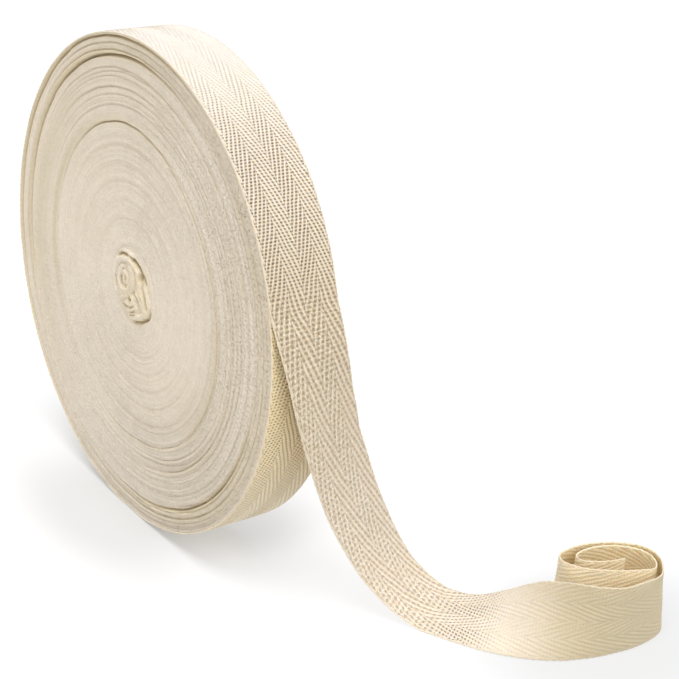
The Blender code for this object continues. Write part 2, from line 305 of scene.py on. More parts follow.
def tape_piece(name, middles, across, v, columns, back_columns, relief, materials,
               wrinkle, seed, floor=True, capped=(True, True)):
    """A strip of cloth with real thickness along a route: woven relief on its
    shown side, rounded selvedges with small scallops, plain on its other side."""
    rows = len(middles)
    along = np.gradient(middles, axis=0)
    along /= np.linalg.norm(along, axis=1)[:, None]
    outward = np.cross(along, across)
    outward /= np.linalg.norm(outward, axis=1)[:, None]
    w = weave_length(v)

    def side(count):
        t = np.linspace(0.0, 1.0, count)
        edge = 0.45                                    # finer near the selvedges
        inner = np.linspace(edge, TAPE_WIDTH - edge, count - 4)
        return np.concatenate([[0.0, 0.16], inner, [TAPE_WIDTH - 0.16, TAPE_WIDTH]])

    def thickness(u):
        near = np.minimum(u, TAPE_WIDTH - u)
        round_off = np.sqrt(np.clip(1.0 - (1.0 - np.clip(near / 0.38, 0.0, 1.0)) ** 2, 0.0, 1.0))
        return CLOTH_HALF * (0.30 + 0.70 * round_off)

    front_u, back_u = side(columns), side(back_columns)
    scallop_l = 0.10 * np.cos(2 * np.pi * w / (2 * PICK)) + 0.09 * noise1(w / 5.0, seed + 5)
    scallop_r = 0.10 * np.cos(2 * np.pi * w / (2 * PICK) + 2.0) + 0.09 * noise1(w / 5.0, seed + 6)

    def surface(u, sign):
        U, W = np.meshgrid(u, w)
        place = U - TAPE_WIDTH / 2
        near_l = np.clip(1.0 - U / 1.2, 0.0, 1.0)
        near_r = np.clip(1.0 - (TAPE_WIDTH - U) / 1.2, 0.0, 1.0)
        place = place + near_l * scallop_l[:, None] - near_r * scallop_r[:, None]
        height = sign * thickness(U)
        if sign > 0:
            height = height + relief * twill_relief(U, W)
            height = height + 0.35 * relief * noise2(U / 0.75, W / 1.3, seed + 1)
        else:
            height = height - 0.5 * relief * twill_relief(U, W)
        soft = wrinkle(U, W)
        height = height + soft
        return (middles[:, None, :] + across[:, None, :] * place[..., None]
                + outward[:, None, :] * height[..., None])

    front, back = surface(front_u, 1.0), surface(back_u, -1.0)
    if floor:
        low = np.minimum(front[..., 2].min(1), back[..., 2].min(1))
        lift = np.maximum(0.0, -low)
        front[..., 2] += lift[:, None]
        back[..., 2] += lift[:, None]
    nf, nb = len(front_u), len(back_u)
    points = np.concatenate([front.reshape(-1, 3), back.reshape(-1, 3)])
    F = np.arange(rows * nf).reshape(rows, nf)
    B = F.size + np.arange(rows * nb).reshape(rows, nb)
    coords_u = np.concatenate([np.tile(front_u, rows), np.tile(back_u, rows)])
    coords_w = np.concatenate([np.repeat(w, nf), np.repeat(w, nb)])

    def quads(a, b, c, d):
        return np.stack([a.ravel(), b.ravel(), c.ravel(), d.ravel()], 1)

    parts = [
        quads(F[:-1, :-1], F[1:, :-1], F[1:, 1:], F[:-1, 1:]),          # shown side
        quads(B[:-1, :-1], B[:-1, 1:], B[1:, 1:], B[1:, :-1]),          # other side
        quads(F[:-1, 0], B[:-1, 0], B[1:, 0], F[1:, 0]),                # left selvedge
        quads(F[:-1, -1], F[1:, -1], B[1:, -1], B[:-1, -1]),            # right selvedge
    ]
    kinds = [np.zeros(len(parts[0])), np.ones(len(parts[1])),
             np.zeros(len(parts[2])), np.zeros(len(parts[3]))]
    faces = [np.concatenate(parts)]
    slots = np.concatenate(kinds)
    # the two ends: the finer side is fanned onto the coarser one
    caps = []
    for end, row in ((0, 0), (1, -1)):
        if not capped[end]:
            continue
        f, b = F[row], B[row]
        match = np.searchsorted(back_u, 0.5 * (front_u[:-1] + front_u[1:])) - 1
        match = np.clip(match, 0, nb - 2)
        nearest = np.abs(back_u[None, :] - front_u[:, None]).argmin(1)
        for k in range(nf - 1):
            a, c = nearest[k], nearest[k + 1]
            caps.append((f[k], f[k + 1], b[a]) if end == 0 else (f[k + 1], f[k], b[a]))
            for m in range(a, c):
                caps.append((f[k + 1], b[m + 1], b[m]) if end == 0 else (f[k + 1], b[m], b[m + 1]))
    if caps:
        faces.append(np.array(caps))
        slots = np.concatenate([slots, np.zeros(len(caps))])
    corners = np.concatenate([f.ravel() for f in faces])
    tape_map = np.stack([coords_u[corners], coords_w[corners]], 1)

    # a flat layout for baking: lengths side by side, shown side and other side
    lanes = 3
    lane_length = (w.max() - w.min()) / lanes * 1.0001
    sheets = []
    is_back = corners >= F.size
    face_of = np.concatenate([np.repeat(np.arange(len(f)), f.shape[1]) + sum(len(g) for g in faces[:i])
                              for i, f in enumerate(faces)])
    total = sum(len(f) for f in faces)
    mean_w = np.zeros(total); np.add.at(mean_w, face_of, coords_w[corners])
    count = np.zeros(total); np.add.at(count, face_of, 1)
    mean_w /= count
    lane = np.clip(np.floor((mean_w - w.min()) / lane_length), 0, lanes - 1)[face_of]
    back_face = np.zeros(total, bool)
    back_face[len(parts[0]):len(parts[0]) + len(parts[1])] = True
    shift = back_face[face_of] * (TAPE_WIDTH + 1.5)
    thin = np.where(is_back & ~back_face[face_of], np.where(coords_u[corners] < TAPE_WIDTH / 2, -0.5, 0.5), 0.0)
    lane_width = 2 * TAPE_WIDTH + 4.0
    size = max(lanes * lane_width, lane_length + 4.0)
    bake = np.stack([(lane * lane_width + shift + 1.0 + coords_u[corners] + thin) / size,
                     (coords_w[corners] - w.min() - lane * lane_length + 2.0) / size], 1)
    return make_mesh(name, points, faces, {"OFBake": bake, "tape": tape_map}, materials, slots)


def press_flat(points, outer_radius):
    """The roll's own weight flattens its rim a little where it stands."""
    y, z = points[:, 1], points[:, 2] - AXIS_HEIGHT
    radius = np.hypot(y, z)
    angle = np.degrees(np.arctan2(z, -y)) % 360.0
    turned = (angle - PEEL_ANGLE) % 360.0
    rim = outer_radius(turned)
    lowest = AXIS_HEIGHT + rim * np.sin(np.radians(angle))
    lift = np.maximum(0.0, -lowest) * smooth((radius - 66.0) / (rim - 66.0))
    points[:, 2] += np.where(z < 0.0, lift, 0.0)
    return points


def rim_radius(turned):
    return ROLL_RADIUS - WRAP * turned / 360.0 + 0.06


# ---- the wound turns seen edge on --------------------------------------------------
FACE_OUTER = ROLL_RADIUS - WRAP - 0.03
FACE_INNER = 14.6

# Gaps between bands of turns, charted as (angle, radius, strength) round the
# face; the angle runs from level on the peel side up over the top.
SHOWN_LINES = [
    dict(depth=1.7, width=0.50, nodes=[
        (0, 84.2, .15), (60, 84.2, .2), (80, 84.3, .7), (95, 84.3, 1), (118, 84.7, 1),
        (130, 84.2, 1), (150, 83.8, .9), (180, 83.9, .8), (200, 84.0, .5), (225, 84, .15),
        (270, 84, .1), (330, 84, .1)]),
    dict(depth=0.6, width=0.35, nodes=[
        (0, 82.3, .3), (40, 82.2, .3), (75, 82.1, .5), (90, 82.1, .9), (115, 82.3, 1),
        (130, 82.2, .4), (160, 82, .1), (270, 82.4, .2), (300, 82.0, .4), (330, 82.2, .4)]),
    dict(depth=0.75, width=0.38, nodes=[
        (0, 80.4, .8), (25, 80.3, .8), (45, 80.1, .4), (70, 79.7, .5), (85, 79.7, .8),
        (110, 80.1, .9), (130, 80.2, .6), (150, 80, .2), (200, 80, 0), (250, 80.6, .2),
        (275, 80.7, .9), (300, 80.4, 1), (330, 80.2, 1), (350, 80.6, .9)]),
    dict(depth=0.55, width=0.35, nodes=[
        (0, 78.7, .3), (40, 78.7, .2), (100, 79.2, 0), (250, 79.2, 0), (275, 79.1, .7),
        (300, 78.3, 1), (320, 78.1, 1), (340, 78.2, .9)]),
    dict(depth=2.3, width=0.60, nodes=[
        (0, 76.9, .30), (20, 77.0, .35), (45, 77.1, .2), (65, 77.6, .2), (80, 78.2, .45),
        (90, 78.4, .9), (110, 78.2, 1.1), (125, 77.9, 1.1), (145, 77.4, .9), (165, 77.1, .7),
        (185, 76.8, .5), (210, 76.8, .12), (240, 77.4, .03), (262, 78.2, .1), (275, 78.0, .5),
        (290, 77.5, .8), (305, 76.9, 1.15), (325, 76.5, 1.1), (342, 76.6, .6), (352, 76.8, .4)]),
    dict(depth=0.5, width=0.30, nodes=[
        (0, 75.5, .2), (60, 75.5, 0), (285, 76.6, 0), (300, 76.2, .7), (315, 75.6, .7),
        (335, 75.4, .4)]),
    dict(depth=0.6, width=0.35, nodes=[
        (0, 72.2, .7), (20, 72.0, .8), (50, 71.9, .6), (70, 72.4, .5), (85, 73.5, .6),
        (100, 74.2, .7), (130, 74.2, .6), (150, 74, .25), (200, 73, .05), (260, 72.5, .1),
        (300, 72.4, .25), (330, 72.4, .15)]),
    dict(depth=0.35, width=0.40, nodes=[
        (60, 72.0, 0), (75, 72.6, .6), (100, 73.0, .8), (120, 72.6, .4), (150, 72.5, 0),
        (330, 72.3, 0)]),
    dict(depth=0.35, width=0.50, nodes=[
        (60, 70, .2), (100, 71.2, .8), (125, 71.3, .6), (150, 71, .1), (250, 70.4, .1),
        (270, 70.2, .2), (290, 69.9, .5), (315, 69.6, .15), (345, 69.5, .05)]),
    dict(depth=0.45, width=0.45, nodes=[
        (60, 67, .2), (90, 67.6, .7), (110, 67.9, 1), (130, 68.1, .7), (150, 68, .2),
        (260, 68, .2), (285, 67.7, .5), (320, 66.8, .15)]),
    dict(depth=0.55, width=0.40, nodes=[
        (0, 65.3, .9), (20, 64.8, .9), (50, 64.8, .6), (75, 65.2, .5), (100, 65.4, .5),
        (130, 65.4, .3), (180, 65, .05), (270, 66, .3), (300, 65.9, .5), (350, 65.6, .8)]),
    dict(depth=0.65, width=0.45, nodes=[
        (0, 63.3, .6), (30, 62.9, .3), (80, 63.2, .3), (120, 63.2, .3), (180, 63, .05),
        (270, 65, .3), (290, 64.3, .7), (305, 63.8, 1), (320, 63.4, 1), (340, 63.4, .9)]),
    dict(depth=0.45, width=0.40, nodes=[
        (0, 62.0, .7), (30, 61.2, .6), (60, 61.3, .4), (95, 62, .6), (130, 62, .4),
        (200, 61.5, 0), (260, 61.8, .4), (285, 61.3, .7), (305, 62.3, .7), (340, 62.3, .7)]),
    dict(depth=0.5, width=0.45, nodes=[
        (0, 59.4, .8), (25, 58.8, .8), (50, 58.8, .4), (100, 59, .25), (180, 58.5, .05),
        (270, 59.5, .3), (295, 60.1, .8), (345, 59.9, .8)]),
    dict(depth=1.0, width=0.42, nodes=[
        (0, 53.6, 1), (30, 53.0, .9), (50, 53.0, .5), (65, 54.2, .6), (80, 55.6, .8),
        (100, 56.4, 1), (115, 56.4, 1), (130, 56.0, .6), (160, 55.5, .3), (200, 55.6, .2),
        (240, 57.2, .2), (255, 57.4, .4), (275, 56.1, .6), (300, 55.6, .6), (320, 55.1, .6),
        (345, 54.4, .7)]),
    dict(depth=0.17, width=0.9, nodes=[
        (0, 47, .4), (90, 48.5, .8), (150, 48, .3), (220, 47.5, .1), (290, 48.5, .9),
        (330, 47.5, .6)]),
    dict(depth=0.15, width=0.8, nodes=[
        (0, 41, .3), (90, 42, .8), (180, 42, .2), (290, 42.5, .9), (330, 41.5, .5)]),
    dict(depth=0.13, width=0.8, nodes=[
        (0, 35.5, .3), (90, 36.5, .7), (180, 36, .2), (290, 36.5, .9), (330, 36, .5)]),
    dict(depth=0.12, width=0.8, nodes=[
        (0, 29.5, .3), (90, 30, .6), (180, 30, .2), (290, 30.5, .9), (330, 30, .5)]),
    dict(depth=0.11, width=0.7, nodes=[
        (0, 23.5, .3), (90, 24, .6), (180, 24, .2), (290, 24.5, .8), (330, 24, .5)]),
]
# golden shade that lies wider than the gaps: (angle, radius, strength)
SHOWN_SHADES = [
    dict(width=1.6, nodes=[(100, 77.5, 0), (120, 78.2, .35), (150, 78.6, .6), (180, 78.6, .7),
                           (205, 78, .35), (230, 78, 0), (290, 77.5, 0)]),
    dict(width=1.2, nodes=[(60, 84.6, 0), (100, 84.8, .35), (140, 84.6, .7), (190, 84.8, .5),
                           (230, 84.4, .35), (270, 84.4, .15), (300, 84.4, 0)]),
    dict(width=2.2, nodes=[(100, 57.8, 0), (125, 57.8, .35), (160, 58, .6), (190, 58, .5), (215, 58, .2),
                           (240, 58, 0), (300, 56, 0), (320, 54.6, .4), (345, 54.2, .5),
                           (360, 54.2, .5), (380, 53.8, .3), (405, 53.5, .1)]),
    dict(width=7.0, nodes=[(105, 69, 0), (135, 69, .25), (160, 69, .40), (190, 70, .38), (215, 71, .18),
                           (240, 72, 0), (290, 72, 0)]),
]
OTHER_LINES = [
    dict(depth=l["depth"], width=l["width"], nodes=sorted(
        ((215.0 - 0.9 * a) % 360.0, r - 1.3, k) for a, r, k in l["nodes"]))
    for l in SHOWN_LINES]
OTHER_SHADES = [
    dict(width=l["width"], nodes=sorted(
        ((215.0 - 0.9 * a) % 360.0, r - 1.3, k) for a, r, k in l["nodes"]))
    for l in SHOWN_SHADES]


def charted(angle, nodes, column):
    table = sorted((a % 360.0, r, k) for a, r, k in nodes)
    return np.interp(angle % 360.0, [n[0] for n in table], [n[column] for n in table], period=360.0)


def face_relief(y, z, lines, shades, seed):
    """Height of the face's broad shape, the share of fine turn lines that shows
    there, its painted dark shade in gaps and bands, and its painted golden shade."""
    radius = np.hypot(y, z)
    angle = np.degrees(np.arctan2(z, -y)) % 360.0
    calm = smooth((radius - 84.5) / 0.4)                    # the last turns lie level
    height = -0.30 - 0.18 * smooth((78.0 - radius) / 2.0) + 0.20 * calm
    height = height + 0.10 * noise2(y / 9.0, z / 9.0, seed + 1)
    lower = np.clip(np.cos(np.radians(angle - 328.0)), 0.0, 1.0) ** 0.8
    upper = np.clip(np.cos(np.radians(angle - 95.0)), 0.0, 1.0) ** 1.5
    far = smooth((radius - 36.0) / 26.0)
    strong = (0.12 + far * (0.75 * lower + 0.20 * upper)) * (1.0 - 0.8 * calm)
    shade, tint = np.zeros_like(radius), np.zeros_like(radius)
    for k, line in enumerate(lines):
        where = charted(angle, line["nodes"], 1)
        power = charted(angle, line["nodes"], 2)
        broken = 1.0 - lower * 0.45 * (0.5 + 0.5 * noise1(angle / 2.3 + 31.0 * k, seed + 2))
        where = where + 0.12 * noise1(angle / 4.0 + 17.0 * k, seed + 3)
        width = 0.66 * line["width"]
        gap = power * broken * np.exp(-((radius - where) / width) ** 2)
        height = height - line["depth"] * gap
        # the edge of the turn just outside stands a little proud
        height = height + 0.14 * power * np.exp(-((radius - where - 2.0 * line["width"]) / 0.4) ** 2)
        # painted shade in the gap, and a painted golden shade just outside it
        wide = power * broken * np.exp(-((radius - where) / (1.2 * width)) ** 2)
        shade = np.maximum(shade, np.clip(0.12 + 0.90 * line["depth"], 0.0, 1.0) * wide)
        halo = np.exp(-((radius - where - 0.6) / 1.5) ** 2)
        tint = np.maximum(tint, np.clip(0.03 + 0.60 * line["depth"], 0.0, 1.0) * power * halo)
    for band in shades:
        where = charted(angle, band["nodes"], 1)
        power = charted(angle, band["nodes"], 2)
        spread = power * np.exp(-((radius - where) / band["width"]) ** 2)
        shade = np.maximum(shade, 0.55 * spread)
        tint = np.maximum(tint, 1.1 * spread)
    return height, strong, np.clip(shade, 0.0, 1.0), np.clip(tint, 0.0, 1.0)


def grain_share(y, z):
    """Where the wound edges look rough rather than felted, and where the colour
    is lifted lighter as painted light, on the peel side of the face."""
    radius = np.hypot(y, z)
    angle = np.degrees(np.arctan2(z, -y)) % 360.0
    side = np.clip(np.cos(np.radians(angle - 10.0)), 0.0, 1.0) ** 0.7
    away = np.abs((angle - 340.0 + 180.0) % 360.0 - 180.0)
    painted_lift = smooth((135.0 - away) / 70.0) * smooth((radius - 48.0) / 10.0) * smooth((79.0 - radius) / 4.0)
    return 0.12 + 0.88 * side * smooth((radius - 42.0) / 22.0), painted_lift


def turn_jitter(spiral, seed):
    """How far each single turn stands out, changing along its length."""
    return 0.24 * noise1(spiral * 1.9, seed + 11) + 0.16 * noise1(spiral * 7.3, seed + 12)


def wound_face(name, side, seed, lines, shades, columns, material):
    """Half of the wound turns: one spiral of ridges, one for each turn, closed
    behind.  side is -1 for the shown face and +1 for the other."""
    rings = int((FACE_OUTER - FACE_INNER) / (WRAP / 2))
    i, j = np.meshgrid(np.arange(rings + 1), np.arange(columns), indexing="ij")
    turn = i / 2.0 + j / columns
    turned = 360.0 * j / columns
    radius = FACE_OUTER - WRAP * turn
    angle = np.radians(PEEL_ANGLE + turned)
    y, z = -radius * np.cos(angle), radius * np.sin(angle)
    broad, strong, shade, tint = face_relief(y, z, lines, shades, seed)
    own = turn_jitter(turn - 0.5, seed)                      # ridges: odd i
    out, inn = turn_jitter(turn - 1.0, seed), turn_jitter(turn, seed)
    gap = np.minimum(out, inn)
    fine = noise2(y / 1.9, z / 1.9, seed + 9)
    height = broad + np.where(i % 2 == 1, strong * own,
                              strong * gap - 0.15 - 0.12 * strong - 0.05 * fine)
    # painted shade: darker in the gaps where two neighbouring turns stand at different heights, and on turns that
    # sit low
    sunk = np.where(i % 2 == 1, 0.0, strong * np.clip(np.abs(out - inn) * 2.2, 0.0, 0.8))
    shade = np.clip(shade + 0.31 * sunk + np.where(i % 2 == 1, np.clip(-own, 0, 1) * 0.52 * strong, 0.0),
                    0.0, 1.0)
    x = side * (TAPE_WIDTH / 2 + height)
    face = np.stack([x, y, z + AXIS_HEIGHT], -1).reshape(-1, 3)
    index = np.arange((rings + 1) * columns).reshape(rings + 1, columns)
    a, b = index[:-1, :-1], index[1:, :-1]
    c, d = index[1:, 1:], index[:-1, 1:]
    quads = [np.stack([a.ravel(), b.ravel(), c.ravel(), d.ravel()], 1)]
    seam = np.arange(rings - 2)
    quads.append(np.stack([index[seam, -1], index[seam + 1, -1], index[seam + 3, 0], index[seam + 2, 0]], 1))
    quads = np.concatenate(quads)
    coords = np.stack([(i / 2.0).ravel(), (j / columns).ravel()], 1)
    turns_map = coords[quads].copy()
    # across the seam the spiral runs on into the next turn
    first = len(quads) - len(seam)
    turns_map[first:, 2, 0] = turns_map[first:, 1, 0]
    turns_map[first:, 3, 0] = turns_map[first:, 0, 0]
    turns_map[first:, 2:, 1] = 1.0
    shade_map = np.stack([shade.ravel()[quads], tint.ravel()[quads]], -1)
    grain_map = np.stack([share.ravel()[quads] for share in grain_share(y, z)], -1)
    outer = np.concatenate([index[0, :], [index[2, 0], index[1, 0]]])
    inner = np.concatenate([index[rings, :], [index[rings - 1, -1], index[rings - 2, -1]]])
    points = [face]
    total = len(face)

    def ring(source, x_place):
        nonlocal total
        rim = face[source].copy()
        rim[:, 0] = x_place
        points.append(rim)
        total += len(rim)
        return np.arange(total - len(rim), total)

    outer_back = ring(outer, side * 2.0)
    inner_back = ring(inner, side * 2.0)
    walls = []

    def wall(first_ring, second_ring):
        n = np.roll(np.arange(len(first_ring)), -1)
        walls.append(np.stack([first_ring, second_ring, second_ring[n], first_ring[n]], 1))

    wall(outer_back, outer)
    wall(inner, inner_back)
    wall(inner_back, outer_back)                             # the hidden back
    walls = np.concatenate(walls)
    quads_all = np.concatenate([quads, walls])
    if side > 0:
        quads_all = quads_all[:, ::-1]
        turns_map = turns_map[:, ::-1]
        shade_map = shade_map[:, ::-1]
        grain_map = grain_map[:, ::-1]
    points = np.concatenate(points)
    bake_face = points[quads_all[:len(quads)]][:, :, 1:3]
    bake = (bake_face - np.array([0.0, AXIS_HEIGHT])) / 180.0 + 0.5
    if side > 0:
        bake[..., 0] = 1.0 - bake[..., 0]
    plain = np.tile(np.array([[0.001, 0.001], [0.004, 0.001], [0.004, 0.004], [0.001, 0.004]]), (len(walls), 1, 1))
    bake = np.concatenate([bake, plain]).reshape(-1, 2)
    blank = np.zeros((len(walls), 4, 2))
    turns_map = np.concatenate([turns_map, blank]).reshape(-1, 2)
    shade_map = np.concatenate([shade_map, blank]).reshape(-1, 2)
    grain_map = np.concatenate([grain_map, blank]).reshape(-1, 2)
    points = press_flat(points, rim_radius)
    return make_mesh(name, points, [quads_all],
                     {"OFBake": bake, "turns": turns_map, "shade": shade_map, "grain": grain_map}, [material])


# ---- the crumpled beginning of the tape ---------------------------------------------
# folded edges of the tape's beginning: soft lines through (y, z) points
# measured from the roll's axis
SHOWN_FOLDS = [
    dict(rise=0.95, width=1.25, line=[(12.2, 3.5), (10.3, 6.4), (6.8, 9.0), (3.0, 10.0), (-0.5, 9.3),
                                      (-3.1, 8.2), (-4.6, 5.9), (-5.2, 3.0), (-5.7, 0.7), (-7.5, -1.0),
                                      (-9.0, -3.3), (-9.4, -5.6), (-7.7, -7.9), (-4.4, -9.8), (0.2, -11.5)]),
    dict(rise=0.75, width=0.85, line=[(-8.7, 4.0), (-9.7, 2.2), (-10.7, -0.6), (-11.6, -3.1),
                                      (-11.2, -5.5), (-8.9, -8.0)]),
    dict(rise=0.90, width=1.55, line=[(2.2, 8.3), (0.2, 6.6), (-0.7, 4.1), (-0.6, 1.2), (1.2, -1.1),
                                      (4.9, -2.8), (8.6, -3.6)]),
    dict(rise=0.70, width=1.00, line=[(5.1, 6.6), (7.9, 4.3), (9.0, 1.1), (8.3, -1.6), (5.5, -2.4)]),
    dict(rise=0.65, width=0.80, line=[(6.0, 4.0), (3.3, 4.3), (2.2, 2.6), (2.8, 0.2)]),
    dict(rise=0.45, width=0.70, line=[(5.0, 3.8), (5.6, 1.7), (5.0, 0.0)]),
    dict(rise=0.70, width=1.00, line=[(7.7, -6.0), (4.4, -3.9), (1.3, -2.8), (-1.0, -3.2), (-1.5, -4.3),
                                      (1.1, -5.7), (4.2, -6.5)]),
    dict(rise=0.75, width=0.80, line=[(4.8, -7.4), (1.1, -6.1), (-2.1, -4.8), (-4.1, -5.2)]),
    dict(rise=0.75, width=0.75, line=[(3.0, -8.5), (-0.8, -6.5), (-3.9, -5.9), (-5.2, -6.7)]),
    dict(rise=0.70, width=0.75, line=[(2.4, -9.5), (-1.2, -7.7), (-4.4, -7.0)]),
    dict(rise=0.65, width=0.75, line=[(1.9, -10.7), (-1.7, -8.9), (-5.2, -7.9)]),
    dict(rise=0.80, width=0.85, line=[(-2.7, -0.4), (-4.3, -1.4), (-6.1, -2.8), (-7.5, -4.3), (-7.9, -6.0)]),
    dict(rise=0.45, width=1.10, line=[(13.0, 2.6), (13.4, -0.7), (12.4, -3.7), (10.6, -5.5)]),
    dict(rise=0.55, width=0.95, line=[(8.0, 10.9), (5.0, 11.8), (1.5, 11.9), (-1.5, 11.3)]),
]
SHOWN_SLITS = [
    dict(depth=2.6, width=0.55, line=[(2.2, 10.7), (0.0, 10.5), (-2.3, 9.9), (-4.2, 9.0), (-5.7, 8.0),
                                      (-7.3, 6.5), (-8.5, 5.4), (-9.2, 4.4)]),
    dict(depth=1.6, width=0.55, line=[(10.7, 8.3), (8.0, 9.8), (4.9, 10.7), (2.2, 10.7)]),
    dict(depth=2.0, width=0.75, line=[(-6.0, 7.5), (-5.8, 5.5), (-6.6, 4.3)]),
    dict(depth=2.0, width=0.48, line=[(7.2, 2.2), (7.1, 0.4), (6.7, -1.0)]),
    dict(depth=1.4, width=0.40, line=[(4.8, -1.1), (3.2, -0.8)]),
    dict(depth=1.0, width=0.35, line=[(6.3, 5.0), (5.5, 5.0)]),
    dict(depth=1.7, width=0.48, line=[(-1.4, -0.3), (-1.9, -1.5), (-3.6, -2.2), (-5.1, -3.4), (-6.3, -4.5),
                                      (-6.6, -6.2)]),
    dict(depth=1.9, width=0.60, line=[(1.7, -3.5), (0.5, -4.2), (1.9, -5.3)]),
    dict(depth=1.1, width=0.42, line=[(6.7, -7.7), (3.8, -7.9), (1.7, -7.4)]),
    dict(depth=0.9, width=0.34, line=[(1.8, -7.9), (-2.1, -5.9)]),
    dict(depth=0.9, width=0.34, line=[(1.0, -9.3), (-3.2, -7.4)]),
    dict(depth=0.8, width=0.34, line=[(1.4, -10.6), (-2.8, -8.8)]),
    dict(depth=1.3, width=0.42, line=[(-7.7, 1.9), (-8.6, -0.6), (-9.8, -3.0), (-10.4, -5.0)]),
    dict(depth=1.7, width=0.50, line=[(0.3, -12.4), (-3.6, -11.1), (-7.4, -9.7), (-10.4, -7.9),
                                      (-12.0, -5.8), (-12.3, -3.7)]),
    dict(depth=0.6, width=0.45, line=[(4.0, 2.5), (4.0, 1.1)]),
    dict(depth=0.7, width=0.50, line=[(12.0, 0.7), (11.2, -1.5), (10.4, -3.3)]),
]


def soft_line(line):
    points = np.array(line, float)
    for _ in range(3):                                # corners cut: a soft curve
        q = 0.75 * points[:-1] + 0.25 * points[1:]
        r = 0.25 * points[:-1] + 0.75 * points[1:]
        mid = np.empty((2 * len(q), 2))
        mid[0::2], mid[1::2] = q, r
        points = np.concatenate([points[:1], mid, points[-1:]])
    return points


def line_distance(y, z, line):
    """Distance to the soft line, and how far along it the nearest place is."""
    points = soft_line(line)
    steps = np.linalg.norm(np.diff(points, axis=0), axis=1)
    total = steps.sum()
    best, share, run = np.full(y.shape, 1e9), np.zeros(y.shape), 0.0
    for p, q, step in zip(points[:-1], points[1:], steps):
        d = q - p
        t = np.clip(((y - p[0]) * d[0] + (z - p[1]) * d[1]) / max(d @ d, 1e-9), 0.0, 1.0)
        off = np.hypot(y - p[0] - t * d[0], z - p[1] - t * d[1])
        nearer = off < best
        best = np.where(nearer, off, best)
        share = np.where(nearer, (run + t * step) / total, share)
        run += step
    return best, share


def core_height(y, z, folds, slits, seed):
    wy = y + 0.16 * noise2(y / 1.7, z / 1.7, seed + 1)
    wz = z + 0.16 * noise2(y / 1.7, z / 1.7, seed + 2)
    base = -0.42 + 0.20 * smooth((12.0 - np.hypot(y - 0.5, z + 0.5)) / 5.0)
    raised = np.zeros_like(y)
    for fold in folds:
        d, share = line_distance(wy, wz, fold["line"])
        ends = smooth(share / 0.12) * smooth((1.0 - share) / 0.12) * 0.75 + 0.25
        ridge = 0.85 * fold["rise"] * ends * np.sqrt(np.clip(1.0 - (d / (1.15 * fold["width"])) ** 2, 0.0, 1.0))
        # layers of cloth seen edge on
        ridge = ridge * (1.0 + 0.13 * np.cos(2 * np.pi * d / 0.52 + 2.0 * fold["width"]))
        raised = np.maximum(raised, ridge)
    cut = np.zeros_like(y)
    for slit in slits:
        d, share = line_distance(wy, wz, slit["line"])
        ends = smooth(share / 0.2) * smooth((1.0 - share) / 0.2) * 0.8 + 0.2
        cut = np.maximum(cut, slit["depth"] * ends * np.exp(-(d / slit["width"]) ** 2))
    inside = smooth((13.6 - np.hypot(y - 0.6, 0.97 * z)) / 2.4)
    fuzz = 0.05 * noise2(y / 0.5, z / 0.5, seed + 3) + 0.035 * noise2(y / 0.26, z / 0.26, seed + 4)
    # painted shade in the slits and in the low places between the folds
    shade = np.clip(0.75 * cut / 1.7 + 0.30 * inside * np.clip(1.0 - raised / 0.45, 0.0, 1.0), 0.0, 1.0)
    return base + raised + fuzz, cut, inside, shade


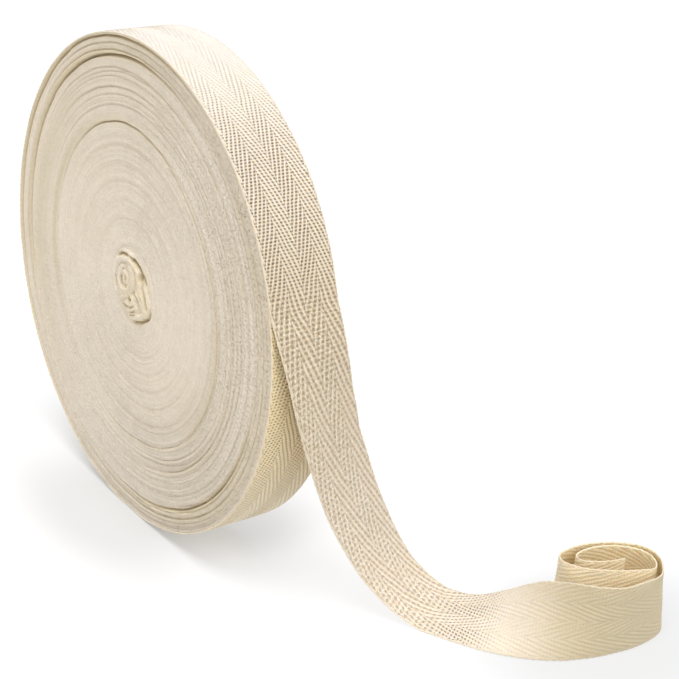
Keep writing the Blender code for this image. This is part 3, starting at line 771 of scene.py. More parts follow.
def core_piece(name, side, folds, slits, lines, shades, seed, material):
    """The crumpled beginning of the tape, and the first turns around it."""
    rings, columns = 90, 288
    outer = FACE_INNER + 0.35
    radius = outer * np.linspace(0.0, 1.0, rings + 1)[1:]
    r, a = np.meshgrid(radius, 2 * np.pi * np.arange(columns + 1) / columns, indexing="ij")
    y, z = -r * np.cos(a + math.radians(PEEL_ANGLE)), r * np.sin(a + math.radians(PEEL_ANGLE))
    spiral = (FACE_OUTER - r) / WRAP                          # turns wound outside this place
    number = spiral - a / (2 * np.pi)
    broad, strong, shade, tint = face_relief(y, z, lines, shades, seed)
    groove = 0.5 + 0.5 * np.cos(2 * np.pi * number)
    around = broad + strong * turn_jitter(np.floor(number) + a / (2 * np.pi), seed) - 0.17 * groove
    folded, cut, inside, core_shade = core_height(y, z, folds, slits, seed + 40)
    height = around * (1.0 - inside) + folded * inside - cut
    height = height - 0.5 * smooth((r - (outer - 0.45)) / 0.3)
    shade = np.maximum(shade * (1 - inside), core_shade)
    # a golden tint over the middle of the core, and painted golden shade in the slits
    golden = smooth((13.2 - np.hypot(y + 3.0, 0.95 * (z + 1.0))) / 6.0)
    tint = np.clip(np.maximum(tint * (1 - inside), golden * 0.50 + 0.9 * cut), 0.0, 1.0)
    x = side * (TAPE_WIDTH / 2 + height)
    middle, middle_cut, _, middle_shade = core_height(np.array([0.0]), np.array([0.0]), folds, slits, seed + 40)
    tip = side * (TAPE_WIDTH / 2 + float(middle[0] - middle_cut[0]))
    face = np.stack([x, y, z + AXIS_HEIGHT], -1)[:, :-1].reshape(-1, 3)
    back = np.stack([np.full(columns, side * 2.2), y[-1, :-1], z[-1, :-1] + AXIS_HEIGHT], -1)
    points = np.concatenate([[(tip, 0.0, AXIS_HEIGHT)], face, back, [(side * 2.2, 0.0, AXIS_HEIGHT)]])
    index = 1 + np.arange(rings * columns).reshape(rings, columns)
    nxt = np.roll(index, -1, axis=1)
    quads = np.stack([index[1:].ravel(), index[:-1].ravel(), nxt[:-1].ravel(), nxt[1:].ravel()], 1)
    col = np.tile(np.arange(columns), rings - 1)
    row = np.repeat(np.arange(rings - 1), columns)
    corner_rows = np.stack([row + 1, row, row, row + 1], 1)
    corner_cols = np.stack([col, col, col + 1, col + 1], 1)
    turns_map = np.stack([number[corner_rows, corner_cols], a[corner_rows, corner_cols] / (2 * np.pi)], -1)
    shade_map = np.stack([shade[corner_rows, corner_cols], tint[corner_rows, corner_cols]], -1)
    rear = 1 + rings * columns + np.arange(columns)
    rear_next = np.roll(rear, -1)
    skirt = np.stack([rear, index[-1], nxt[-1], rear_next], 1)
    fan = np.stack([index[0], np.zeros(columns, int), nxt[0]], 1)
    last = len(points) - 1
    rear_fan = np.stack([np.full(columns, last), rear, rear_next], 1)
    fan_map = np.full((columns, 3, 2), (float(number[0, 0]), 0.5))
    fan_shade = np.zeros((columns, 3, 2)); fan_shade[..., 0] = float(shade[0].mean())
    quads = np.concatenate([quads, skirt])
    turns_map = np.concatenate([turns_map, np.zeros((columns, 4, 2))])
    shade_map = np.concatenate([shade_map, np.zeros((columns, 4, 2))])
    fans = np.concatenate([fan, rear_fan])
    fan_map = np.concatenate([fan_map, np.zeros((columns, 3, 2))])
    fan_shade = np.concatenate([fan_shade, np.zeros((columns, 3, 2))])
    if side > 0:
        quads, fans, turns_map, shade_map = quads[:, ::-1], fans[:, ::-1], turns_map[:, ::-1], shade_map[:, ::-1]
    corners = np.concatenate([quads.ravel(), fans.ravel()])
    rel = points[corners][:, 1:3] - np.array([0.0, AXIS_HEIGHT])
    bake = rel / 32.0 + 0.5
    turns_rows = np.concatenate([turns_map.reshape(-1, 2), fan_map.reshape(-1, 2)])
    shade_rows = np.concatenate([shade_map.reshape(-1, 2), fan_shade.reshape(-1, 2)])
    grain_rows = np.tile((0.25, 0.0), (len(corners), 1))
    return make_mesh(name, points, [quads, fans],
                     {"OFBake": bake, "turns": turns_rows, "shade": shade_rows, "grain": grain_rows}, [material])


# ---- materials --------------------------------------------------------------------
class Tree:
    """Small helper that writes a material's nodes."""

    def __init__(self, name):
        self.material = bpy.data.materials.new(name)
        self.material.use_nodes = True
        self.nodes = self.material.node_tree.nodes
        self.links = self.material.node_tree.links
        self.shader = self.nodes["Principled BSDF"]

    def put(self, socket, value):
        if isinstance(value, bpy.types.NodeSocket):
            self.links.new(value, socket)
        else:
            socket.default_value = value

    def math(self, operation, a, b=None, c=None, clamp=False):
        node = self.nodes.new("ShaderNodeMath")
        node.operation = operation
        node.use_clamp = clamp
        for socket, value in zip(node.inputs, (a, b, c)):
            if value is not None:
                self.put(socket, value)
        return node.outputs[0]

    def mix(self, share, a, b):
        node = self.nodes.new("ShaderNodeMix")
        node.data_type = "RGBA"
        node.clamp_factor = True
        self.put(node.inputs[0], share)
        self.put(node.inputs[6], a)
        self.put(node.inputs[7], b)
        return node.outputs[2]

    def uv(self, label):
        node = self.nodes.new("ShaderNodeUVMap")
        node.uv_map = label
        split = self.nodes.new("ShaderNodeSeparateXYZ")
        self.links.new(node.outputs[0], split.inputs[0])
        return split.outputs[0], split.outputs[1]

    def place(self):
        return self.nodes.new("ShaderNodeTexCoord").outputs["Object"]

    def vector(self, x, y, z=0.0):
        node = self.nodes.new("ShaderNodeCombineXYZ")
        for socket, value in zip(node.inputs, (x, y, z)):
            self.put(socket, value)
        return node.outputs[0]

    def noise(self, vector, scale, detail=2.0, roughness=0.5, stretch=None):
        if stretch is not None:
            node = self.nodes.new("ShaderNodeVectorMath")
            node.operation = "MULTIPLY"
            self.links.new(vector, node.inputs[0])
            node.inputs[1].default_value = stretch
            vector = node.outputs[0]
        node = self.nodes.new("ShaderNodeTexNoise")
        node.noise_dimensions = "3D"
        self.links.new(vector, node.inputs["Vector"])
        node.inputs["Scale"].default_value = scale
        node.inputs["Detail"].default_value = detail
        node.inputs["Roughness"].default_value = roughness
        return node.outputs[0]

    def white(self, value):
        node = self.nodes.new("ShaderNodeTexWhiteNoise")
        node.noise_dimensions = "1D"
        self.put(node.inputs["W"], value)
        return node.outputs["Value"]

    def ramp(self, value, low, high, to_low=0.0, to_high=1.0):
        node = self.nodes.new("ShaderNodeMapRange")
        node.interpolation_type = "SMOOTHSTEP"
        self.put(node.inputs[0], value)
        for k, number in zip((1, 2, 3, 4), (low, high, to_low, to_high)):
            node.inputs[k].default_value = number
        return node.outputs[0]

    def bump(self, height, distance, strength=1.0, after=None):
        node = self.nodes.new("ShaderNodeBump")
        node.inputs["Strength"].default_value = strength
        node.inputs["Distance"].default_value = distance
        self.links.new(height, node.inputs["Height"])
        if after is not None:
            self.links.new(after, node.inputs["Normal"])
        return node.outputs[0]

    def finish(self, colour, normal, roughness, rough=0.86, sheen=0.12):
        self.put(self.shader.inputs["Base Color"], colour)
        self.put(self.shader.inputs["Roughness"], roughness)
        self.shader.inputs["Specular IOR Level"].default_value = 0.22
        self.shader.inputs["Sheen Weight"].default_value = sheen
        self.shader.inputs["Sheen Roughness"].default_value = 0.5
        self.shader.inputs["Sheen Tint"].default_value = (1.0, 0.93, 0.82, 1.0)
        self.links.new(normal, self.shader.inputs["Normal"])
        return self.material


CREAM = (0.810, 0.722, 0.598, 1.0)
CREAM_PALE = (0.880, 0.810, 0.710, 1.0)
CREAM_DEEP = (0.560, 0.440, 0.300, 1.0)
# near-white gold for the tape inside the curl: painted warm light in the curl's shade
PAINTED_WARM_LIGHT = (0.985, 0.830, 0.570, 1.0)
PAINTED_WARM_LIGHT_PALE = (0.990, 0.880, 0.670, 1.0)
PAINTED_WARM_LIGHT_DEEP = (0.720, 0.490, 0.210, 1.0)
# darker khaki for the curl's outer turn: painted shade
PAINTED_CURL_SHADE = (0.590, 0.502, 0.325, 1.0)
# painted highlight over the top of the roll
PAINTED_HIGHLIGHT_TONE = (0.850, 0.800, 0.750, 1.0)
SANDY = (0.770, 0.660, 0.480, 1.0)
IVORY = (0.770, 0.690, 0.540, 1.0)
# colours for the holes between the yarns: painted shade
PAINTED_WARM_DOT_SHADE = (0.260, 0.130, 0.022, 1.0)
PAINTED_DOT_SHADE = (0.120, 0.075, 0.040, 1.0)
# colours of painted shade: dark in the gaps between turns, golden beside them
OLIVE = (0.295, 0.208, 0.090, 1.0)
KHAKI = (0.760, 0.655, 0.440, 1.0)


def tape_material(name, base, pale, deep, dots, fades, selvedge, golden=None, lit=False,
                  lines=0.30, glow=(0.4, 0.0007), hole=PAINTED_DOT_SHADE, painted_light_and_shade_tones=None):
    """Herringbone twill: warp ends that float over three wefts and dive under
    the fourth, their dives stepping sideways from weft to weft."""
    t = Tree(name)
    u, w = t.uv("tape")
    place = t.place()
    if painted_light_and_shade_tones is not None:
        # painted light and shade: the three tones change along the tape, as where the curl's inside is lit warm or
        # the last wrap lies in shade under the roll and the strap
        low, high, tones = painted_light_and_shade_tones
        base, pale, deep = (t.mix(t.ramp(w, low, high), tone, other)
                            for tone, other in zip((base, pale, deep), tones))
    # the yarns do not run quite straight
    wander = t.noise(t.vector(t.math("MULTIPLY", u, 0.16), t.math("MULTIPLY", w, 0.11)), 1.0, 1.0, 0.5)
    sway = t.noise(t.vector(t.math("MULTIPLY", u, 0.9), t.math("MULTIPLY", w, 0.6), 7.0), 1.0, 2.0, 0.6)
    uu = t.math("ADD", u, t.math("MULTIPLY", t.math("SUBTRACT", wander, 0.5), 0.9))
    uu = t.math("ADD", uu, t.math("MULTIPLY", t.math("SUBTRACT", sway, 0.5), 0.22))
    ww = t.math("ADD", w, t.math("MULTIPLY", t.math("SUBTRACT", sway, 0.5), 0.45))
    ue = t.math("SUBTRACT", uu, LEFT_SELVEDGE)
    stripe = t.math("FLOOR", t.math("DIVIDE", ue, STRIPE))
    odd = t.math("FLOORED_MODULO", stripe, 2.0)
    share = t.math("SUBTRACT", t.math("DIVIDE", ue, STRIPE), stripe)
    mirrored = t.math("SUBTRACT", 1.0, share)
    flipped = t.math("ADD", t.math("MULTIPLY", share, t.math("SUBTRACT", 1.0, odd)),
                     t.math("MULTIPLY", mirrored, odd))
    hang = t.math("MULTIPLY", t.ramp(w, HANGS_FROM - 8.0, HANGS_FROM + 8.0, 1.0, 0.0),
                  t.ramp(w, HANGS_TO - 8.0, HANGS_TO + 8.0))
    ends = t.math("SUBTRACT", float(ENDS), t.math("MULTIPLY", hang, OPENS * ENDS))
    column = t.math("MULTIPLY", flipped, ends)
    end = t.math("FLOOR", column)
    in_end = t.math("SUBTRACT", column, end)                      # 0..1 across one end
    held = t.math("MINIMUM", t.math("MAXIMUM", w, HANGS_TO), HANGS_FROM)
    opened = t.math("MULTIPLY", t.math("SUBTRACT", HANGS_FROM, held), OPENS)
    pick = t.math("SUBTRACT", t.math("DIVIDE", t.math("ADD", ww, opened), PICK), t.math("MULTIPLY", odd, 2.0))
    weft_number = t.math("FLOOR", t.math("ADD", pick, 0.5))
    # distance to the nearest place where the weft shows
    aside = t.math("SUBTRACT", t.math("SUBTRACT", column, 0.5), weft_number)
    aside = t.math("SUBTRACT", t.math("FLOORED_MODULO", t.math("ADD", aside, 2.0), 4.0), 2.0)
    above = t.math("SUBTRACT", pick, weft_number)
    slant = t.math("SUBTRACT", aside, t.math("MULTIPLY", above, 0.9))
    dx = t.math("DIVIDE", t.math("MULTIPLY", slant, STRIPE / ENDS), 0.43)
    dy = t.math("DIVIDE", t.math("MULTIPLY", above, PICK), 0.31)
    far = t.math("SQRT", t.math("ADD", t.math("MULTIPLY", dx, dx), t.math("MULTIPLY", dy, dy)))
    speck = t.noise(t.vector(t.math("MULTIPLY", u, 2.4), t.math("MULTIPLY", w, 1.5)), 1.0, 3.0, 0.65)
    far = t.math("ADD", far, t.math("MULTIPLY", t.math("SUBTRACT", speck, 0.5), t.math(
        "ADD", 0.9, t.math("MULTIPLY", hang, 1.5))))
    if lit:
        # the weave stands open where the tape bends away from the roll
        bold = t.math("MULTIPLY", t.ramp(w, 568.0, 586.0), t.ramp(w, 640.0, 670.0, 1.0, 0.0))
        far = t.math("MULTIPLY", far, t.math("SUBTRACT", 1.0, t.math("MULTIPLY", bold, 0.19)))
        # painted highlight: over the top of the roll the weave is drawn fainter and the colour lighter
        painted_highlight_share = t.math("MULTIPLY", t.ramp(w, 652.0, 703.0), t.ramp(w, 712.0, 741.0, 1.0, 0.0))
        far = t.math("MULTIPLY", far, t.math("ADD", 1.0, t.math("MULTIPLY", painted_highlight_share, 0.30)))
    dot = t.ramp(far, 0.42, 1.16, 1.0, 0.0)
    # lines of the twill: the float ridges between the rows of dots
    phase = t.math("MULTIPLY", t.math("SUBTRACT", t.math("SUBTRACT", pick, column), -0.5), 2 * math.pi / REPEAT)
    ridge = t.math("SUBTRACT", 0.5, t.math("MULTIPLY", t.math("COSINE", phase), 0.5))
    round_end = t.math("SUBTRACT", 1.0, t.math("POWER", t.math("ABSOLUTE", t.math(
        "SUBTRACT", t.math("MULTIPLY", in_end, 2.0), 1.0)), 2.0))
    # plain woven selvedges
    edge_l = t.ramp(u, 0.25, 0.55, 1.0, 0.0)
    edge_r = t.ramp(u, 24.45, 24.75, 0.0, 1.0)
    edge = t.math("MAXIMUM", edge_l, edge_r)
    inner = t.math("SUBTRACT", 1.0, edge)
    ribs = t.math("MULTIPLY", t.math("ADD", t.math("COSINE", t.math("MULTIPLY", pick, math.pi)), 1.0), 0.5)
    dot = t.math("MULTIPLY", dot, inner)
    # uneven yarns
    yarn_id = t.math("ADD", end, t.math("MULTIPLY", stripe, 17.0))
    slub = t.noise(t.vector(t.math("MULTIPLY", yarn_id, 3.7), t.math("MULTIPLY", w, 0.35)), 1.0, 2.0, 0.6)
    cloud = t.noise(place, 28.0, 2.0, 0.5)
    fibre = t.noise(place, 1900.0, 3.0, 0.65)
    # places that show their weave less
    soft = None
    for fade in fades:
        step = t.ramp(w, *fade)
        soft = step if soft is None else t.math("MULTIPLY", soft, step)
    if lit:
        soft = t.math("MULTIPLY", soft, t.math("SUBTRACT", 1.0, t.math("MULTIPLY", painted_highlight_share, 0.65)))
    shown_dot = t.math("MULTIPLY", dot, soft)
    # colour
    colour = t.mix(t.ramp(speck, 0.30, 0.75, 0.0, 0.75), base, pale)
    if lit:
        sandy = t.math("MULTIPLY", t.ramp(w, 540.0, 570.0), t.ramp(w, 600.0, 645.0, 1.0, 0.0))
        colour = t.mix(t.math("MULTIPLY", sandy, 0.65), colour, SANDY)
        # painted highlight: lighter, greyer colour over the top of the roll
        colour = t.mix(t.math("MULTIPLY", t.math("MULTIPLY", t.ramp(w, 635.0, 705.0), t.ramp(
            w, 712.0, 741.0, 1.0, 0.0)), 0.90), colour, PAINTED_HIGHLIGHT_TONE)
    colour = t.mix(t.ramp(slub, 0.35, 0.80, 0.0, 0.25), colour, deep)
    twill = t.math("MULTIPLY", t.math("SUBTRACT", 1.0, ridge), inner)
    if lit:
        blurred = t.math("MULTIPLY", t.ramp(w, 462.0, 474.0), t.ramp(w, 489.0, 500.0, 1.0, 0.0))
        amount = t.math("SUBTRACT", t.math("ADD", t.ramp(w, 452.0, 466.0, lines + 0.25, lines),
                                   t.math("MULTIPLY", bold, 0.38)),
                        t.math("MULTIPLY", blurred, 0.24))
        amount = t.math("MULTIPLY", amount, t.math("SUBTRACT", 1.0, t.math("MULTIPLY", painted_highlight_share, 0.65)))
        # the floats of two of the stripes lie like cords where the tape hangs
        corded = t.math("MULTIPLY", t.math("MULTIPLY", hang, odd), t.ramp(w, 484.0, 512.0))
        amount = t.math("ADD", amount, t.math("MULTIPLY", corded, 0.50))
    else:
        amount = lines
    # painted shade along the twill lines, between the float ridges
    colour = t.mix(t.math("MULTIPLY", twill, amount), colour, deep)
    if lit:
        # mottled yarn
        mottle = t.noise(place, 1750.0, 1.5, 0.6)
        dim = t.math("MULTIPLY", t.math("MULTIPLY", t.ramp(mottle, 0.49, 0.64), hang), t.ramp(
            w, 505.0, 575.0, 0.60, 1.0))
        colour = t.mix(t.math("MULTIPLY", dim, t.math("SUBTRACT", 0.92, t.math("MULTIPLY", odd, 0.52))),
                       colour, (0.500, 0.395, 0.250, 1.0))
        colour = t.mix(t.math("MULTIPLY", t.math("MULTIPLY", t.ramp(mottle, 0.46, 0.32), hang), 0.50), colour,
                       (0.930, 0.870, 0.780, 1.0))
    colour = t.mix(t.ramp(cloud, 0.40, 0.75, 0.0, 0.10), colour, deep)
    # painted shade: a darker tone over the curl's outer turn, and a warm golden tone for the light bounced into
    # the strap's shade on the last wrap
    if golden is not None:
        low, high, most, tone = golden
        painted_shade_share = t.ramp(w, low, high, most, 0.0) if lit else t.ramp(w, low, high, 0.0, most)
        if lit:
            # its far side is plain again, with less of the painted shade
            painted_shade_share = t.math("MULTIPLY", painted_shade_share, t.ramp(w, 402.0, 431.0, 0.30, 1.0))
        colour = t.mix(painted_shade_share, colour, tone)
    if lit:
        # painted warm light: the windings inside the curl are coloured golden for the warm light they catch
        colour = t.mix(t.ramp(w, 364.0, 396.0, 0.85, 0.0), colour, PAINTED_WARM_LIGHT)
    uneven_dot = t.math("MULTIPLY", shown_dot, t.ramp(slub, 0.25, 0.70, 1.0, 0.6))
    if lit:
        calmer = t.math("MULTIPLY", hang, t.ramp(w, 556.0, 604.0, 1.0, 0.40))
        uneven_dot = t.math("MULTIPLY", uneven_dot, t.math("SUBTRACT", 1.0, t.math(
            "MULTIPLY", calmer, t.math("ADD", 0.52, t.math("MULTIPLY", odd, 0.12)))))
        # where the tape hangs, the painted shade in the holes is lighter
        hole = t.mix(hang, hole, (0.190, 0.140, 0.070, 1.0))
    # painted shade in the holes between the yarns
    colour = t.mix(t.math("MULTIPLY", uneven_dot, dots), colour, hole)
    colour = t.mix(t.math("MULTIPLY", edge, 0.70), colour, selvedge)
    # surface
    height = t.math("MULTIPLY", t.math("MULTIPLY", round_end, inner), 0.35)
    raised = t.math("MULTIPLY", ridge, inner)
    height = t.math("ADD", height, t.math("MULTIPLY", raised, 0.45))
    if lit:
        height = t.math("ADD", height, t.math("MULTIPLY", t.math("MULTIPLY", raised, corded), 0.55))
    height = t.math("ADD", height, t.math("MULTIPLY", shown_dot, -1.0))
    height = t.math("ADD", height, t.math("MULTIPLY", t.math("MULTIPLY", ribs, edge), 0.6))
    height = t.math("ADD", height, t.math("MULTIPLY", speck, 0.8))
    normal = t.bump(height, 0.00026, 1.0)
    normal = t.bump(fibre, 0.00012, 0.8, normal)
    rough = t.ramp(speck, 0.2, 0.8, 0.78, 0.95)
    t.shader.inputs["Subsurface Weight"].default_value = glow[0]
    t.shader.inputs["Subsurface Radius"].default_value = (1.0, 0.75, 0.45)
    t.shader.inputs["Subsurface Scale"].default_value = glow[1]
    return t.finish(colour, normal, rough, sheen=0.14)


def edge_material(name, base, pale, deep):
    """The wound turns seen edge on: selvedges side by side, fuzzy, each with
    the small loops of its weft."""
    t = Tree(name)
    row, round_ = t.uv("turns")
    shade, tint = t.uv("shade")
    rough_share, painted_lift = t.uv("grain")
    number = t.math("FLOOR", row)
    spiral = t.math("ADD", number, round_)                           # turns along the tape
    across = t.math("ABSOLUTE", t.math("SUBTRACT", t.math("MULTIPLY", t.math("FRACT", row), 2.0), 1.0))
    gap = t.ramp(across, 0.50, 1.0)                                  # 1 between two turns
    length = t.math("MULTIPLY", t.math("SUBTRACT", FACE_OUTER, t.math("MULTIPLY", spiral, WRAP / 2)),
                    t.math("MULTIPLY", spiral, 2 * math.pi))
    loop = t.math("MULTIPLY", t.math("ADD", t.math("COSINE", t.math(
        "MULTIPLY", length, math.pi / PICK)), 1.0), 0.5)
    place = t.place()
    fuzz = t.noise(place, 750.0, 3.0, 0.7)
    grain = t.noise(place, 2200.0, 2.0, 0.65)
    cloud = t.noise(place, 35.0, 3.0, 0.55)
    tone = t.noise(t.vector(t.math("MULTIPLY", spiral, 2.3), 0.0), 1.0, 1.0, 0.5)
    run = t.noise(t.vector(t.math("MULTIPLY", spiral, 0.37), 5.0), 1.0, 2.0, 0.6)
    colour = t.mix(t.ramp(fuzz, 0.30, 0.72, 0.0, 0.70), base, pale)
    # painted light: the face's colour lifted lighter on the peel side
    colour = t.mix(t.math("MULTIPLY", painted_lift, 0.75), colour, (0.945, 0.855, 0.735, 1.0))
    # painted shade in the gaps between turns
    colour = t.mix(t.math("MULTIPLY", gap, t.math("ADD", 0.16, t.math("MULTIPLY", rough_share, 0.16))),
                   colour, deep)
    colour = t.mix(t.math("MULTIPLY", t.ramp(tone, 0.46, 0.62), t.math(
        "ADD", 0.10, t.math("MULTIPLY", rough_share, 0.20))), colour, deep)
    colour = t.mix(t.ramp(run, 0.45, 0.75, 0.0, 0.16), colour, deep)
    # painted shade between the weft loops along each turn's edge
    colour = t.mix(t.math("MULTIPLY", t.math("SUBTRACT", 1.0, loop), t.math(
        "MULTIPLY", t.math("SUBTRACT", 1.0, gap), t.math("MULTIPLY", rough_share, 0.14))), colour, deep)
    colour = t.mix(t.ramp(cloud, 0.42, 0.78, 0.0, 0.12), colour, deep)
    # small pits, sunk in the bump and darkened with painted shade
    pits = t.noise(place, 1250.0, 1.5, 0.6)
    pits = t.math("MULTIPLY", t.ramp(pits, 0.54, 0.68), rough_share)
    colour = t.mix(t.math("MULTIPLY", pits, 0.42), colour, deep)
    # painted golden shade beside the gaps and in the golden bands
    colour = t.mix(t.math("MULTIPLY", tint, 0.80), colour, KHAKI)
    # painted dark shade in the gaps and bands
    dark = t.math("MULTIPLY", shade, t.ramp(fuzz, 0.25, 0.65, 1.0, 0.62))
    colour = t.mix(t.math("MULTIPLY", dark, 0.90), colour, OLIVE)
    height = t.math("ADD", t.math("MULTIPLY", t.math("MULTIPLY", loop, rough_share), 0.35),
                    t.math("MULTIPLY", fuzz, 1.3))
    height = t.math("SUBTRACT", height, t.math("MULTIPLY", pits, 0.6))
    normal = t.bump(height, 0.00030, 0.9)
    normal = t.bump(grain, 0.00012, 0.8, normal)
    rough = t.ramp(fuzz, 0.2, 0.8, 0.82, 0.96)
    return t.finish(colour, normal, rough, sheen=0.22)


# ---- build ---------------------------------------------------------------------------
# the shown side is darker over the curl's outer turn: painted shade
front_cloth = tape_material("tape_shown_side", CREAM, CREAM_PALE, CREAM_DEEP, 0.97,
                            [(484.0, 500.0, 0.10, 1.0)],
                            (0.660, 0.575, 0.440, 1.0), golden=(460.0, 490.0, 0.88, PAINTED_CURL_SHADE), lit=True)
# the other side: near-white gold inside the curl as painted warm light, turning to cream along the strap
back_cloth = tape_material("tape_other_side", PAINTED_WARM_LIGHT, PAINTED_WARM_LIGHT_PALE, PAINTED_WARM_LIGHT_DEEP, 0.34, [(440.0, 480.0, 0.35, 1.0)],
                           IVORY, lines=0.55, glow=(0.5, 0.0012), hole=PAINTED_WARM_DOT_SHADE,
                           painted_light_and_shade_tones=(432.0, 480.0, (CREAM, CREAM_PALE, CREAM_DEEP)))
# the last wrap turns darker and warmer round the bottom and golden under the strap: painted shade and warm bounced
# light
wrap_cloth = tape_material("tape_last_wrap", CREAM, CREAM_PALE, CREAM_DEEP, 0.97,
                           [(900.0, 1030.0, 1.0, 0.30), (1030.0, 1100.0, 1.0, 3.33)],
                           (0.660, 0.575, 0.440, 1.0), golden=(1055.0, 1105.0, 0.9, (0.99, 0.800, 0.49, 1.0)),
                           painted_light_and_shade_tones=(820.0, 960.0, ((0.800, 0.700, 0.510, 1.0), (0.850, 0.765, 0.600, 1.0),
                                                   (0.560, 0.410, 0.210, 1.0))), hole=PAINTED_WARM_DOT_SHADE)
turn_edges = edge_material("wound_edges", (0.820, 0.722, 0.592, 1.0), (0.880, 0.798, 0.684, 1.0),
                           (0.580, 0.465, 0.310, 1.0))

COLUMNS, BACK_COLUMNS, STEP, RELIEF = 98, 26, 0.70, 0.075

middles, across, even, v = route(STEP)


def loose_wrinkle(U, W):
    free = smooth((600.0 - W) / 25.0)                # none where it lies on the roll
    soft = 0.28 * noise2(U / 13.0, W / 21.0, 301) + 0.10 * noise2(U / 5.0, W / 8.0, 302)
    left = np.clip(1.0 - U / 3.0, 0.0, 1.0) * 0.22 * noise1(W / 6.5, 303)
    right = np.clip(1.0 - (TAPE_WIDTH - U) / 3.0, 0.0, 1.0) * 0.22 * noise1(W / 6.5, 304)
    return free * (soft + left + right) + (1.0 - free) * 0.03 * noise2(U / 6.0, W / 9.0, 305)


loose = tape_piece("loose_tape", middles, across, v, COLUMNS, BACK_COLUMNS, RELIEF,
                   [front_cloth, back_cloth], loose_wrinkle, 11)

wrap_count = int(round(math.radians(360.4 - SEAM_TURN) * 85.6 / STEP))
turns = np.linspace(SEAM_TURN, 360.4, wrap_count + 1)
wrap_middles = np.array([wrapped_middle(t) for t in turns])
wrap_across = np.tile((1.0, 0.0, 0.0), (len(turns), 1))
wrap_length = np.concatenate([[0.0], np.cumsum(np.linalg.norm(np.diff(wrap_middles, axis=0), axis=1))])
wrap_v = math.radians(SEAM_TURN) * (ROLL_RADIUS - 0.3) + wrap_length


def wrap_wrinkle(U, W):
    return 0.03 * noise2(U / 6.0, W / 9.0, 305)


last = tape_piece("last_wrap", wrap_middles[::-1], wrap_across, wrap_v[::-1], COLUMNS, 8, RELIEF,
                  [wrap_cloth, back_cloth], wrap_wrinkle, 11, floor=False)
co = np.empty(len(last.data.vertices) * 3, np.float32)
last.data.vertices.foreach_get("co", co)
co = press_flat(co.reshape(-1, 3).astype(float) / MM, rim_radius) * MM
last.data.vertices.foreach_set("co", co.astype(np.float32).ravel())
last.data.update()

shown_face = wound_face("wound_turns_shown", -1, 21, SHOWN_LINES, SHOWN_SHADES, 300, turn_edges)
other_face = wound_face("wound_turns_other", 1, 57, OTHER_LINES, OTHER_SHADES, 240, turn_edges)
shown_core = core_piece("folded_start_shown", -1, SHOWN_FOLDS, SHOWN_SLITS, SHOWN_LINES, SHOWN_SHADES,
                        21, turn_edges)
OTHER_FOLDS, OTHER_SLITS = ([dict(line, line=[(0.92 * z + 0.8, -0.95 * y) for y, z in line["line"]])
                             for line in group] for group in (SHOWN_FOLDS, SHOWN_SLITS))
other_core = core_piece("folded_start_other", 1, OTHER_FOLDS, OTHER_SLITS, OTHER_LINES, OTHER_SHADES,
                        57, turn_edges)

for piece in (loose, last, shown_face, other_face, shown_core, other_core):
    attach(piece, "root")
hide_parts("loose_end")
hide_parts("wound_roll")

# ---- floor, light and camera -----------------------------------------------------------
floor_mesh = bpy.data.meshes.new("floor")
floor_mesh.from_pydata([(-30, -30, -0.0002), (30, -30, -0.0002), (30, 30, -0.0002), (-30, 30, -0.0002)],
                       [], [(0, 1, 2, 3)])
floor = bpy.data.objects.new("floor", floor_mesh)
bpy.context.scene.collection.objects.link(floor)
paper = Tree("pale_floor")
# painted shadows: the floor's glow is lowered in soft patches close under the roll, beside it and round the curl,
# and its colour raised there so the real shadows show


def painted_shadow_patch(x, y, wide, deep_, low, high):
    spot = paper.nodes.new("ShaderNodeVectorMath")
    spot.operation = "MULTIPLY_ADD"
    paper.links.new(paper.place(), spot.inputs[0])
    spot.inputs[1].default_value = (1 / wide, 1 / deep_, 0.0)
    spot.inputs[2].default_value = (-x / wide, -y / deep_, 0.0)
    reach = paper.nodes.new("ShaderNodeVectorMath")
    reach.operation = "LENGTH"
    paper.links.new(spot.outputs[0], reach.inputs[0])
    return paper.ramp(reach.outputs["Value"], low, high, 1.0, 0.0)


near = painted_shadow_patch(0.014, 0.012, 0.108, 0.100, 0.40, 1.0)
contact = painted_shadow_patch(0.020, -0.033, 0.028, 0.022, 0.20, 1.2)
beside = painted_shadow_patch(-0.024, 0.0, 0.030, 0.060, 0.30, 1.2)
round_curl = painted_shadow_patch(0.084, -0.150, 0.050, 0.040, 0.50, 1.45)
paper.put(paper.shader.inputs["Base Color"], paper.mix(near, (0.16, 0.16, 0.163, 1.0), (0.46, 0.46, 0.468, 1.0)))
light_left = paper.math("ADD", 0.84, paper.math("MULTIPLY", near, -0.36))
light_left = paper.math("ADD", light_left, paper.math("MULTIPLY", beside, -0.23))
light_left = paper.math("ADD", light_left, paper.math("MULTIPLY", contact, -0.12))
light_left = paper.math("ADD", light_left, paper.math("MULTIPLY", round_curl, -0.17))
paper.put(paper.shader.inputs["Emission Strength"], light_left)
paper.shader.inputs["Roughness"].default_value = 0.9
paper.shader.inputs["Specular IOR Level"].default_value = 0.0
paper.shader.inputs["Emission Color"].default_value = (1.0, 1.0, 1.0, 1.0)
floor_mesh.materials.append(paper.material)

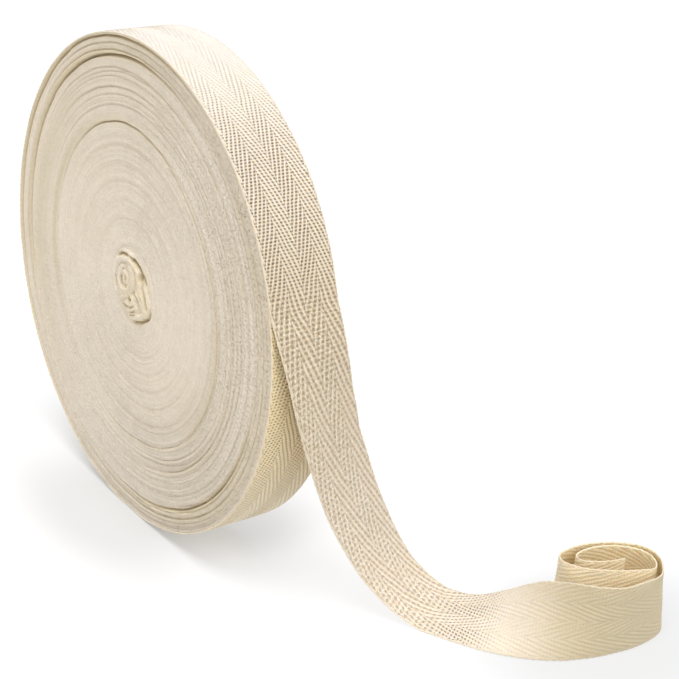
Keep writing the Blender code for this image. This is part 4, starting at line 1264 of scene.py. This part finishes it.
world = bpy.data.worlds.new("studio")
bpy.context.scene.world = world
world.use_nodes = True
world.node_tree.nodes["Background"].inputs["Color"].default_value = (1.0, 1.0, 1.0, 1.0)
world.node_tree.nodes["Background"].inputs["Strength"].default_value = 0.66


def soft_light(name, place, target, size, power, colour=(1.0, 1.0, 1.0)):
    data = bpy.data.lights.new(name, "AREA")
    data.shape = "DISK"
    data.size = size
    data.energy = power
    data.color = colour
    obj = bpy.data.objects.new(name, data)
    bpy.context.scene.collection.objects.link(obj)
    obj.location = place
    obj.rotation_euler = (Vector(target) - Vector(place)).to_track_quat("-Z", "Y").to_euler()
    return obj


soft_light("overhead", (-0.75, -0.70, 3.9), (0.02, -0.05, 0.05), 2.0, 112.0, (1.0, 0.99, 0.975))
soft_light("side", (-1.8, -0.5, 0.9), (0.0, 0.0, 0.08), 1.2, 2.2)
soft_light("front", (0.45, -1.75, 1.15), (0.03, -0.1, 0.05), 1.2, 10.0)

# the photo's own viewing angle
yaw, pitch, roll = (math.radians(a) for a in (-37.407, 24.190, 4.016))
forward = Vector((-math.sin(yaw) * math.cos(pitch), math.cos(yaw) * math.cos(pitch), -math.sin(pitch)))
right = Vector((math.cos(yaw), math.sin(yaw), 0.0))
up = right.cross(forward)
right, up = (right * math.cos(roll) + up * math.sin(roll),
             up * math.cos(roll) - right * math.sin(roll))
camera_data = bpy.data.cameras.new("camera")
camera = bpy.data.objects.new("camera", camera_data)
bpy.context.scene.collection.objects.link(camera)
turn = Matrix((right, up, -forward)).transposed().to_4x4()
turn.translation = Vector((-0.25879, -0.43758, 0.29546))
camera.matrix_world = turn
camera_data.sensor_width = 36.0
camera_data.lens = 1594.4 / 679.0 * 36.0
camera_data.shift_x = 3.91 / 679.0
camera_data.shift_y = -1.28 / 679.0
camera_data.clip_start = 0.01
camera_data.clip_end = 60.0
bpy.context.scene.camera = camera

settings = bpy.context.scene.view_settings
settings.view_transform = "Standard"
settings.look = "None"
settings.exposure = 0.0
settings.gamma = 1.0

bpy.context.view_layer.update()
for piece in (loose, last, shown_face, other_face, shown_core, other_core):
    piece.data.calc_loop_triangles()
    print("triangles", piece.name, len(piece.data.loop_triangles))
